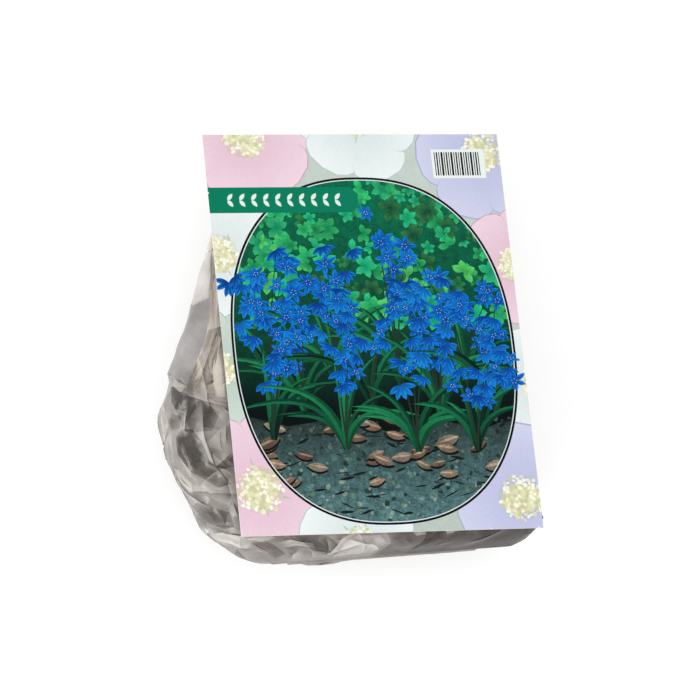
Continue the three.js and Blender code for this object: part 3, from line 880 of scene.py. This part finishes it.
folds, patches = (
    [([Vector((x / 1000 * GIRTH, y / 1000 * LENGTH)) for x, y in zip(line[::2], line[1::2])], *rest)
     for line, *rest in kind] for kind in (FOLDS, PATCHES))
# Random folds, each with its rise and its step of painted light and shade on its two sides.
for count, shortest, longest, rise, reach, step, line in FOLD_SIZES:
    for _ in range(count):
        middle = Vector((vary(0, GIRTH), vary(0, LENGTH)))
        long, lean = vary(shortest, longest), vary(0, math.pi)
        half = Vector((math.cos(lean), math.sin(lean))) * long / 2
        bow = Vector((-half.y, half.x)) * vary(-0.16, 0.16)
        points = [middle - half, middle + bow, middle + half]
        sizes = (rise * vary(0.5, 1.1) * film_rng.choice((-1, 1)),
                 reach * vary(0.5, 1.2), reach * vary(0.5, 1.2),
                 step * vary(-1.3, 1.3), line * vary(0.5, 1.4))
        if not any(is_smooth(point) for point in points):
            folds.append((points, *sizes))
# Clusters of short folds rayed out from a point, each with painted light on one side and painted
# shade on the other.
for _ in range(CLUSTER_COUNT):
    middle = Vector((vary(12, GIRTH - 12), vary(12, LENGTH - 12)))
    count, start = film_rng.randint(*RAYS), vary(0, 6.28)
    for k in range(count):
        lean = start + (k + vary(-0.25, 0.25)) * 2 * math.pi / count
        end = middle + Vector((math.cos(lean), math.sin(lean))) * vary(*RAY_LENGTHS)
        if not is_smooth(end) and not is_smooth(middle):
            folds.append(([middle, middle.lerp(end, 0.5), end], vary(-RAY_RISE, RAY_RISE),
                          RAY_REACH, RAY_REACH, vary(-0.26, 0.26), vary(0.15, 0.4)))
# Small patches of random haze, partly milkiness and partly painted light and shade on the facets.
for _ in range(PATCH_COUNT):
    middle = Vector((vary(0, GIRTH), vary(8, LENGTH - 8)))
    outline = pebble_outline(
        film_rng, middle, vary(*PATCH_RADII), film_rng.randint(*PATCH_CORNERS))
    if not is_smooth(middle):
        patches.append(([Vector(point) for point in outline], vary(-PATCH_HAZE_AND_SHADE, PATCH_HAZE_AND_SHADE), 0, 0))


def inside_sheet(point):
    return Vector([min(most - SHEET_RIM, max(SHEET_RIM, value))
                   for value, most in zip(point, (GIRTH, LENGTH))])


def crease_outline(points, width):
    """A thin strip along a fold, that runs out to a point at both of its ends."""
    sides = [[], []]
    for before, point, after in zip(points, points[1:-1], points[2:]):
        along = (after - before).normalized()
        for side, share in zip(sides, (-1, 1)):
            side.append(point + Vector((-along.y, along.x)) * width / 2 * share)
    return [points[0]] + sides[0] + [points[-1]] + sides[1][::-1]


# The flat sheet is cut along every crease and patch, over an even spread of points.
round_steps, long_steps = int(GIRTH / SHEET_STEP), int(LENGTH / SHEET_STEP)
border = [Vector((GIRTH * i / round_steps, 0)) for i in range(round_steps)]
border += [Vector((GIRTH, LENGTH * i / long_steps)) for i in range(long_steps)]
border += [Vector((GIRTH * (1 - i / round_steps), LENGTH)) for i in range(round_steps)]
border += [Vector((0, LENGTH * (1 - i / long_steps))) for i in range(long_steps)]
outlines = [border]
for points, *_, line in folds:
    if len(points) == 2:
        points = [points[0], points[0].lerp(points[1], 0.5), points[1]]
    outlines.append([inside_sheet(point) for point in crease_outline(points, line)])
outlines += [[inside_sheet(point) for point in outline] for outline, *_ in patches]
loose_points = [
    inside_sheet((GIRTH * (i + vary(-0.3, 0.3)) / round_steps,
                  LENGTH * (j + vary(-0.3, 0.3)) / long_steps))
    for i in range(1, round_steps) for j in range(1, long_steps)]
cut_points, cut_faces, cut_sources = cut_plane(outlines, loose_points, 1e-3)
places = as_rows(cut_points)


def nearest_on_line(places, points):
    """How far places lie from a line, on which side of it, and at which share of its length."""
    starts = as_rows(points[:-1])
    spans = as_rows(points[1:]) - starts
    lengths = numpy.hypot(spans[:, 0], spans[:, 1])
    best = numpy.full(len(places), 1e9)
    side, along = numpy.zeros(len(places)), numpy.zeros(len(places))
    for k, (start, span, length) in enumerate(zip(starts, spans, lengths)):
        offset = places - start
        t = numpy.clip((offset @ span) / length**2, 0, 1)
        away = offset - t[:, None] * span
        distance = numpy.hypot(away[:, 0], away[:, 1])
        closer = distance < best
        best = numpy.where(closer, distance, best)
        turned_to = numpy.sign(span[0] * offset[:, 1] - span[1] * offset[:, 0])
        side = numpy.where(closer, turned_to, side)
        along = numpy.where(closer, (lengths[:k].sum() + t * length) / lengths.sum(), along)
    return best, side, along


def fold_effects(places):
    """For each fold: the places near it, how near, on which side, its rise and its step of painted
    light and shade.
    """
    for points, rise, reach_left, reach_right, step, _ in folds:
        reach = max(reach_left, reach_right)
        low = [min(point[k] for point in points) - reach for k in (0, 1)]
        high = [max(point[k] for point in points) + reach for k in (0, 1)]
        near = numpy.nonzero(((places > low) & (places < high)).all(axis=1))[0]
        distance, side, along = nearest_on_line(places[near], points)
        nearness = numpy.clip(1 - distance / numpy.where(side > 0, reach_left, reach_right), 0, 1)
        yield near, nearness * (1 - abs(2 * along - 1) ** 5), side, rise, step


rise_at = numpy.zeros(len(places))
for near, nearness, _, rise, _ in fold_effects(places):
    rise_at[near] += rise * nearness**1.2
base_at = film_surface(places)
ahead = film_surface(places + (0.5, 0)) - film_surface(places - (0.5, 0))
below = film_surface(places + (0, 0.5)) - film_surface(places - (0, 0.5))
outward_at = numpy.cross(ahead, below)
outward_at /= numpy.linalg.norm(outward_at, axis=1)[:, None] + 1e-12
centre_line = film_grid.mean(axis=1)
middles = centre_line[numpy.clip(places[:, 1] / LENGTH * film_rows, 0, film_rows).astype(int)]
if (outward_at * (base_at - middles)).sum() < 0:
    outward_at = -outward_at
from_head = base_at - numpy.array(in_pack(0, 0, 0))
depths = -(from_head @ numpy.array(card_out)) / MM
across_at = (from_head @ numpy.array(card_right)) / MM
pressed = numpy.where(abs(across_at) < 80, numpy.clip((depths - 1) / 5, 0.08, 1), 1)
from_ends = numpy.minimum(places[:, 1], LENGTH - places[:, 1])
freedom = pressed * numpy.clip((from_ends - 3) / 9, 0, 1)
folded = base_at + outward_at * (rise_at * freedom)[:, None] * MM

film_bm = bmesh.new()
haze_and_shade_layer = film_bm.loops.layers.float_color.new("haze_and_shade")
film_verts = [film_bm.verts.new(point) for point in folded]
first_patch = 1 + len(folds)
corner_places, corner_loops, covered = [], [], [[] for _ in patches]
for face_points, sources in zip(cut_faces, cut_sources):
    face = film_bm.faces.new([film_verts[i] for i in face_points])
    face.smooth = True
    middle = sum((cut_points[i] for i in face_points), Vector((0, 0))) / len(face_points)
    for loop, i in zip(face.loops, face_points):
        for source in sources:
            if source >= first_patch:
                covered[source - first_patch].append(len(corner_loops))
        corner_places.append(tuple(cut_points[i].lerp(middle, 0.04)))
        corner_loops.append(loop)
corner_places = numpy.array(corner_places)
corner_tint = numpy.tile((PLAIN_HAZE, *WELD_TINT[1:]), (len(corner_places), 1))
# Each patch adds its haze with its painted light and shade, its grey's tint and its clearness,
# fading in from its rim.
for (outline, haze_and_shade, cool, clear), corners in zip(patches, covered):
    if corners:
        inside, _, _ = nearest_on_line(corner_places[corners], outline + outline[:1])
        strength = numpy.clip(RIM_SHARE + inside / RIM_FADE, 0, 1)[:, None]
        corner_tint[corners] += strength * (haze_and_shade, 0.5 * cool, clear, 0.0)
# Each fold paints light on one side of it and shade on the other, fading away from it.
for near, nearness, side, _, step in fold_effects(corner_places):
    corner_tint[near, 0] += step * nearness * side
corner_tint[:, 0] = numpy.clip(corner_tint[:, 0], 0, 1)
for loop, tint in zip(corner_loops, corner_tint.tolist()):
    loop[haze_and_shade_layer] = tint
bmesh.ops.remove_doubles(film_bm, verts=film_bm.verts[:], dist=0.002 * MM)
for vertex in film_bm.verts:
    touch, normal, _, away = bulb_tree.find_nearest(vertex.co)
    if (vertex.co - touch).dot(normal) < BULB_GAP * MM and away < BULB_REACH * MM:
        vertex.co = touch + normal * BULB_GAP * MM
    _, down, depth = from_pack(vertex.co)
    if down < CARD_HEIGHT + 1 and depth < LEAST_DEPTH:
        vertex.co -= card_out * (LEAST_DEPTH - depth) * MM
    vertex.co.z = max(vertex.co.z, FLOOR_GAP * MM)
for edge in film_bm.edges:
    if edge.is_manifold and edge.calc_face_angle(0) > SHARP_CREASE:
        edge.smooth = False
bmesh.ops.recalc_face_normals(film_bm, faces=film_bm.faces[:])
film_tree = BVHTree.FromBMesh(film_bm)

# Round air holes are punched through the back film.
VENT_ACROSS, VENT_DOWN, VENT_RADIUS, VENT_SIDES = (-54, -18, 18, 54), (78, 102), 3.0, 16
for across in VENT_ACROSS:
    for down in VENT_DOWN:
        centre = in_pack(across, down, 0)
        near = []
        for face in film_bm.faces:
            aside = face.calc_center_median() - centre
            aside -= card_out * aside.dot(card_out)
            reach = aside.length - math.sqrt(face.calc_area())
            if face.normal.dot(card_out) < -0.2 and reach < VENT_RADIUS * 1.5 * MM:
                near.append(face)
        region = set(near)
        for side in range(VENT_SIDES):
            turn = 2 * math.pi * side / VENT_SIDES
            outward = card_right * math.cos(turn) + card_up * math.sin(turn)
            parts = list(region) + list({e for f in region for e in f.edges}) + list(
                {v for f in region for v in f.verts})
            cut = bmesh.ops.bisect_plane(
                film_bm, geom=parts, dist=1e-7, plane_no=outward,
                plane_co=centre + outward * VENT_RADIUS * MM)
            region = {item for item in cut["geom"] if isinstance(item, bmesh.types.BMFace)}
        punched = [
            face for face in region
            if (face.calc_center_median() - centre).cross(card_out).length < VENT_RADIUS * MM]
        bmesh.ops.delete(film_bm, geom=punched, context="FACES")


RIB_PITCH, RIB_HIGH, RIB_STEP, WELD_STEP, WELD_HALF_THICK = 1.3, 0.22, 0.16, 3.0, 0.12
TOP_WELD, FOOT_WELD = (143, 8.2), (100, 6.5)  # width and length


def ribbed_weld(bm, place, width, length):
    """A flat weld with fine cross ribs. place gives a point at across, along and height."""
    rows, columns = int(length / RIB_STEP), int(width / WELD_STEP)
    sheets = []
    for lift in (-WELD_HALF_THICK, WELD_HALF_THICK):
        grid = []
        for row in range(rows + 1):
            along = length * row / rows
            rib = RIB_HIGH * math.sin(2 * math.pi * along / RIB_PITCH)
            grid.append([
                bm.verts.new(place(width * (column / columns - 0.5), along, rib + lift))
                for column in range(columns + 1)])
        sheets.append(grid)
    for row in range(rows):
        for column in range(columns):
            for grid in sheets:
                bm.faces.new((grid[row][column], grid[row][column + 1],
                              grid[row + 1][column + 1], grid[row + 1][column])).smooth = True
    lower, upper = sheets
    sides = [[(row, column), (row + 1, column)] for row in range(rows) for column in (0, columns)]
    sides += [[(row, column), (row, column + 1)] for column in range(columns) for row in (0, rows)]
    for (a, b), (c, d) in sides:
        bm.faces.new((lower[a][b], lower[c][d], upper[c][d], upper[a][b]))


def apply_modifier(piece):
    """Turns a piece with its one modifier into a plain mesh."""
    graph = bpy.context.evaluated_depsgraph_get()
    plain = bpy.data.meshes.new_from_object(piece.evaluated_get(graph))
    piece.modifiers.clear()
    piece.data = plain


film_bm.to_mesh(film.data)
film_bm.free()
walls = film.modifiers.new("wall", "SOLIDIFY")
walls.thickness = FILM_WALL * MM
walls.offset = -1
apply_modifier(film)

# The top weld is a straight ribbed strip, and the foot's is folded back against the bag.
film_bm = bmesh.new()
film_bm.from_mesh(film.data)
weld_bm = bmesh.new()
weld_haze = weld_bm.loops.layers.float_color.new("haze_and_shade")
ribbed_weld(weld_bm, lambda across, along, high: in_pack(
    across, 4.2 + along, 2.0 + high + 0.35 * math.sin(across / 8)), *TOP_WELD)
ribbed_weld(weld_bm, lambda across, along, high: in_pack(
    across + 2.5, 219.6 - along**2 / 36 + high - FOOT_SKEW * across, 28.8 + along), *FOOT_WELD)
bmesh.ops.recalc_face_normals(weld_bm, faces=weld_bm.faces[:])
for face in weld_bm.faces:
    for loop in face.loops:
        loop[weld_haze] = WELD_TINT
film_bm.from_mesh(new_mesh("welds", weld_bm))
film_bm.to_mesh(film.data)
film_bm.free()


# Crumpled film: flat facets that lean each their own way, and cloudy haze, from thin and clear to
# milky and whitened. The haze it reads also carries painted light and shade, and a painted tint of
# reflected light.
FACET_SCALE, FINER_FACETS, FACET_LEAN = 95.0, 2.7, 0.045
smoky_film, tree, shader = new_material("smoky film")
place = add_node(tree, "ShaderNodeTexCoord").outputs["Object"]
warp = noise_fac(tree, 60.0, 2.0).outputs["Color"]
warped = vector_maths(tree, "ADD", place, vector_maths(tree, "SCALE", warp, Scale=0.012))
facets, small = (
    add_node(tree, "ShaderNodeTexVoronoi", {"Vector": warped, "Scale": scale}).outputs["Color"]
    for scale in (FACET_SCALE, FACET_SCALE * FINER_FACETS))
centred = vector_maths(
    tree, "SUBTRACT", vector_maths(tree, "ADD", facets, small), (1.0, 1.0, 1.0))
leaned = vector_maths(tree, "SCALE", centred, Scale=FACET_LEAN)
surface = add_node(tree, "ShaderNodeNewGeometry").outputs["Normal"]
clouds = ranged(tree, noise_fac(tree, 60.0, 6.0, 0.6), 0.3, 0.7, -0.14, 0.14)
painted = add_node(tree, "ShaderNodeAttribute", attribute_name="haze_and_shade")
channels = add_node(tree, "ShaderNodeSeparateColor", {"Color": painted})
clouded_haze_and_shade = maths(tree, "ADD", channels.outputs["Red"], clouds, clamp=True)
# Grey from dark thin film to white milky film; its dark and white ends also show painted shade and
# painted highlights.
tone = ramped(tree, clouded_haze_and_shade, (
    (0.0, ink(74, 68, 63)), (0.45, ink(168, 162, 156)), (1.0, ink(236, 231, 224))))
# A cool or warm tint of the grey; the flap's cool grey is a painted tint of reflected light.
hue = blended(tree, channels.outputs["Green"], (1.04, 0.99, 0.93), (0.96, 0.99, 1.05))
uncovered = ranged(tree, channels.outputs["Blue"], 0.0, 1.0, 1.0, 0.4)
feed(shader, {
    "Base Color": blended(tree, 1.0, tone, hue, blend_type="MULTIPLY"),
    "Alpha": maths(tree, "MULTIPLY", ranged(tree, clouded_haze_and_shade, 0.0, 1.0, 0.6, 0.8), uncovered),
    "Roughness": ranged(tree, clouded_haze_and_shade, 0.0, 1.0, 0.18, 0.32),
    "Normal": vector_maths(tree, "NORMALIZE", vector_maths(tree, "ADD", surface, leaned)),
    "Specular IOR Level": 0.45})
dress(film, smoky_film)
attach(film, "root")
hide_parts("film_bag")


# ---- Bulbs
# Forty small round bulbs, each in a thin dry skin of purplish brown with a pale root plate below
# and a papery nose. They lie loose in the lower part of the bag.

BULB_TALL = 27.5
BULB_PROFILE = [  # radius and height at scale 1, from the root plate to the nose
    (0, 0.7), (3.2, 0.2), (5.4, 0.5), (8.2, 2.2), (10.2, 4.6), (11.5, 7.6), (11.8, 10.2),
    (11.2, 13.4), (10, 16.2), (8.3, 18.8), (6.1, 20.9), (4.2, 22.5), (2.6, 24.1), (1.6, 25.6),
    (0.9, 27), (0, 27.5),
]
BULB_SIDES = 30
bulb_rng = random.Random(41)


def bulb_frame(node):
    """A CAD bulb's root end, its direction and its scale."""
    points = {tuple(round(c, 7) for c in vertex.co) for vertex in node.data.vertices}
    points = [Vector(point) for point in points]
    middle = sum(points, Vector()) / len(points)
    nose = max(points, key=lambda point: (point - middle).length)
    axis = (nose - middle).normalized()
    scale = max((nose - point).dot(axis) for point in points) / (BULB_TALL * MM)
    return nose - axis * scale * BULB_TALL * MM, axis, scale


def bulb_mesh(root, axis, scale, rng):
    """A bulb with low ribs, dents and a twisted nose, and root stubs round its plate."""
    bm = bmesh.new()
    skin_layer = bm.verts.layers.float_vector.new("on skin")
    side = axis.orthogonal().normalized()
    across = axis.cross(side)
    phase, lobes = rng.uniform(0, 6.28), rng.choice((2, 3))
    rows = []
    for radius, high in BULB_PROFILE:
        row = []
        for i in range(BULB_SIDES):
            turn = 2 * math.pi * i / BULB_SIDES + 0.02 * high
            ribs = 0.010 * math.cos(lobes * turn + phase) + 0.012 * math.cos(9 * turn + 2 * phase)
            dent = 0.035 * noise.noise(Vector((math.cos(turn), math.sin(turn), high / 9 + phase)))
            wide = radius * (0.985 + ribs + dent) * scale * MM
            row.append(bm.verts.new(
                root + axis * high * scale * MM
                + side * wide * math.cos(turn) + across * wide * math.sin(turn)))
            row[-1][skin_layer] = (math.cos(turn) + phase, math.sin(turn), high / BULB_TALL)
            if radius == 0:
                break
        rows.append(row)
    for low, high_row in zip(rows, rows[1:]):
        for i in range(BULB_SIDES):
            j = (i + 1) % BULB_SIDES
            if len(low) == 1:
                face = bm.faces.new((low[0], high_row[j], high_row[i]))
            elif len(high_row) == 1:
                face = bm.faces.new((low[i], low[j], high_row[0]))
            else:
                face = bm.faces.new((low[i], low[j], high_row[j], high_row[i]))
            face.smooth = True
            face.material_index = 1 if low in rows[:2] else 0
    for k in range(16):
        turn = 2 * math.pi * (k + rng.uniform(-0.3, 0.3)) / 16
        outward = side * math.cos(turn) + across * math.sin(turn)
        start = root + outward * 4.6 * scale * MM + axis * 0.7 * scale * MM
        end = start + (outward * rng.uniform(0.2, 0.9) - axis * rng.uniform(0.1, 0.9)) * scale * MM
        edge = axis.cross(outward) * 0.22 * MM
        base = [bm.verts.new(start + step) for step in (edge, -edge, axis * 0.5 * MM)]
        tip = bm.verts.new(end)
        for a, b in ((0, 1), (1, 2), (2, 0)):
            bm.faces.new((base[a], base[b], tip)).material_index = 1
        bm.faces.new(base).material_index = 1
    bmesh.ops.recalc_face_normals(bm, faces=bm.faces[:])
    return new_mesh("bulb", bm)


# The dry skin has fine veins from plate to nose, and paler patches where it flakes.
bulb_skin, tree, shader = new_material("bulb skin")
on_skin = add_node(tree, "ShaderNodeAttribute", attribute_name="on skin").outputs["Vector"]
drawn_out = add_node(tree, "ShaderNodeMapping", {"Vector": on_skin, "Scale": (11.0, 11.0, 1.3)})
veins = noise_fac(tree, 1.0, 4.0, 0.7, drawn_out)
vein_tone = ramped(tree, veins, ((0.36, ink(66, 38, 36)), (0.66, ink(138, 96, 76))))
flaked = ranged(tree, noise_fac(tree, 3.4, 5.0, 0.55, on_skin), 0.57, 0.63)
feed(shader, {
    "Base Color": blended(tree, flaked, vein_tone, ink(172, 134, 102)),
    "Normal": add_node(tree, "ShaderNodeBump", {
        "Height": veins, "Strength": 0.5, "Distance": 0.4 * MM}),
    "Roughness": 0.6, "Specular IOR Level": 0.3})
root_plate, tree, shader = new_material("bulb root plate")
corky = noise_fac(tree, 800.0, 4.0)
feed(shader, {
    "Base Color": blended(tree, corky, ink(118, 92, 70), ink(206, 182, 148)), "Roughness": 0.85})
bulb_names = sorted(name for name in nodes if name.startswith("bulb_"))
bulb_frames = [bulb_frame(nodes[name]) for name in bulb_names]
for name, (root, axis, scale) in zip(bulb_names, bulb_frames):
    bulb = new_object("skinned_" + name, bulb_mesh(root, axis, scale, bulb_rng))
    dress(bulb, bulb_skin, root_plate)
    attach(bulb, "root")
    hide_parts(name)


# ---- Wood shavings
# Fine pale curls of planed wood, poured in with the bulbs. Most lie above them as a wad, and the
# rest fill the gaps under the film.

SHAVING_PLACES = [
    # count, then across, down and depth from and to, and the least distance from the film
    (700, (-105, 88), (70, 106), (2, 58), 2.7),  # the wad above the bulbs
    (700, (-105, 88), (104, 205), (2, 58), 9.0),  # sifted down between them
    (420, (-98, -74), (92, 146), (2, 16), 2.6),  # in the groove beside the card
]
FULL_TURN, LEAST_SIZE, MOST_SIZE = 6.2832, 0.45, 1.1
BULB_BODY, BODY_HIGH = 12.4, 10.5  # the ball that keeps clear of shavings, and its height
MOST_CROSSINGS = 12
shaving_rng = random.Random(77)


def is_bagged(point):
    """Whether lines from a point to four sides each cross the film an odd number of times."""
    for heading in (card_out, -card_out, card_right, -card_right):
        crossings, start = 0, point
        while crossings < MOST_CROSSINGS:
            met = film_tree.ray_cast(start, heading)[0]
            if met is None:
                break
            crossings += 1
            start = met + heading * 0.02 * MM
        if crossings % 2 == 0:
            return False
    return True


def shaving_points(count, acrosses, downs, depths, clearance):
    points = []
    while len(points) < count:
        across, down = shaving_rng.uniform(*acrosses), shaving_rng.uniform(*downs)
        depth = shaving_rng.uniform(*depths)
        point = in_pack(across, down, depth)
        if film_tree.find_nearest(point)[3] < clearance * MM or not is_bagged(point):
            continue
        if all((point - root - axis * BODY_HIGH * scale * MM).length > BULB_BODY * scale * MM
               for root, axis, scale in bulb_frames):
            points.append(point)
    return points


def node_group(name, sockets):
    """A geometry tree with named inputs, each with its kind and value."""
    tree = bpy.data.node_groups.new(name, "GeometryNodeTree")
    tree.interface.new_socket("Geometry", in_out="INPUT", socket_type="NodeSocketGeometry")
    for label, kind, value in sockets:
        socket = tree.interface.new_socket(label, in_out="INPUT", socket_type=kind)
        if value is not None:
            socket.default_value = value
    tree.interface.new_socket("Geometry", in_out="OUTPUT", socket_type="NodeSocketGeometry")
    return tree, tree.nodes.new("NodeGroupInput"), tree.nodes.new("NodeGroupOutput")


tree, given, result = node_group("wood curls", [
    ("Curl Radius", "NodeSocketFloat", 2.3 * MM),
    ("Strip Width", "NodeSocketFloat", 1.4 * MM),
    ("Strip Thickness", "NodeSocketFloat", 0.14 * MM),
    ("Turns", "NodeSocketFloat", 0.8),
    ("Seed", "NodeSocketInt", 5),
    ("Wood", "NodeSocketMaterial", None),
])
points = add_node(tree, "GeometryNodeMeshToPoints", {"Mesh": given.outputs["Geometry"]})
spiral = add_node(tree, "GeometryNodeCurveSpiral", {
    "Resolution": 9, "Rotations": given.outputs["Turns"],
    "Start Radius": given.outputs["Curl Radius"], "End Radius": 1.0 * MM, "Height": 1.8 * MM})
strip = add_node(tree, "GeometryNodeCurvePrimitiveQuadrilateral", {
    "Width": given.outputs["Strip Thickness"], "Height": given.outputs["Strip Width"]})
curl = add_node(tree, "GeometryNodeCurveToMesh", {
    "Curve": spiral, "Profile Curve": strip, "Fill Caps": True})
turn = add_node(tree, "FunctionNodeRandomValue", {"Seed": given.outputs["Seed"]},
                data_type="FLOAT_VECTOR")
feed(turn, {1: (FULL_TURN,) * 3})
size = add_node(tree, "FunctionNodeRandomValue", {"Seed": 9}, data_type="FLOAT")
feed(size, {2: LEAST_SIZE, 3: MOST_SIZE})
curls = add_node(tree, "GeometryNodeInstanceOnPoints", {
    "Points": points, "Instance": curl, "Rotation": turn, "Scale": size.outputs[1]})
real = add_node(tree, "GeometryNodeRealizeInstances", {"Geometry": curls})
feed(result, {"Geometry": add_node(tree, "GeometryNodeSetMaterial", {
    "Geometry": real, "Material": given.outputs["Wood"]})})
curl_tree = tree

shaving_wood, tree, shader = new_material("shaving wood")
wood_mix = maths(
    tree, "MULTIPLY_ADD", noise_fac(tree, 2600.0, 2.0), 0.35, noise_fac(tree, 330.0, 1.0))
feed(shader, {
    "Base Color": ramped(tree, wood_mix, ((0.5, ink(212, 182, 140)), (0.8, ink(254, 244, 222)))),
    "Roughness": 0.75})

spot_mesh = bpy.data.meshes.new("shaving spots")
spot_mesh.from_pydata(
    [spot for place in SHAVING_PLACES for spot in shaving_points(*place)], [], [])
shavings = new_object("shavings", spot_mesh)
modifier = shavings.modifiers.new("curls", "NODES")
modifier.node_group = curl_tree
for item in curl_tree.interface.items_tree:
    if item.item_type == "SOCKET" and item.in_out == "INPUT" and item.name == "Wood":
        modifier[item.identifier] = shaving_wood
apply_modifier(shavings)
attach(shavings, "root")
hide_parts("wood_shavings")


# ---- Glue strips
# Two pale strips of hot-melt glue, pressed flat between the card and the bag.

glue, tree, shader = new_material("pressed glue")
glue_clouds = noise_fac(tree, 260.0, 4.0)
feed(shader, {
    "Base Color": blended(tree, glue_clouds, ink(206, 190, 146), ink(232, 222, 190)),
    "Roughness": 0.4})
for name in ("glue_strip_top", "glue_strip_middle"):
    nodes[name].data.materials.clear()
    dress(nodes[name], glue)


# ---- Floor and light
# A plain pale floor under one broad soft light and an even sky.

floor_mesh = bpy.data.meshes.new("floor")
FLOOR_HALF = 3.0
floor_mesh.from_pydata([
    (x * FLOOR_HALF, y * FLOOR_HALF, 0) for x, y in ((-1, -1), (1, -1), (1, 1), (-1, 1))],
    [], [(0, 1, 2, 3)])
floor = new_object("floor", floor_mesh)
floor_paint, tree, shader = new_material("pale floor")
feed(shader, {"Base Color": (0.4, 0.4, 0.4, 1), "Roughness": 0.7,
              "Emission Color": (1, 1, 1, 1), "Emission Strength": 0.62})
dress(floor, floor_paint)

world = bpy.data.worlds.new("even sky")
world.use_nodes = True
feed(world.node_tree.nodes["Background"], {"Color": (1, 1, 1, 1), "Strength": 1.02})
bpy.context.scene.world = world

SOFTBOXES = [
    # place, size, watts
    (Vector((-1.7, -0.2, 0.75)), 0.7, 13),
    (Vector((-0.8, -1.3, 1.0)), 0.35, 4),
]
for place, size, watts in SOFTBOXES:
    softbox = new_object("softbox", bpy.data.lights.new("softbox", "AREA"))
    softbox.data.size = size
    softbox.data.energy = watts
    softbox.location = place
    softbox.rotation_mode = "QUATERNION"
    softbox.rotation_quaternion = (Vector((0, 0, 0.03)) - place).to_track_quat("-Z", "Y")
bpy.context.scene.view_settings.view_transform = "Standard"
bpy.context.scene.cycles.transparent_max_bounces = 32
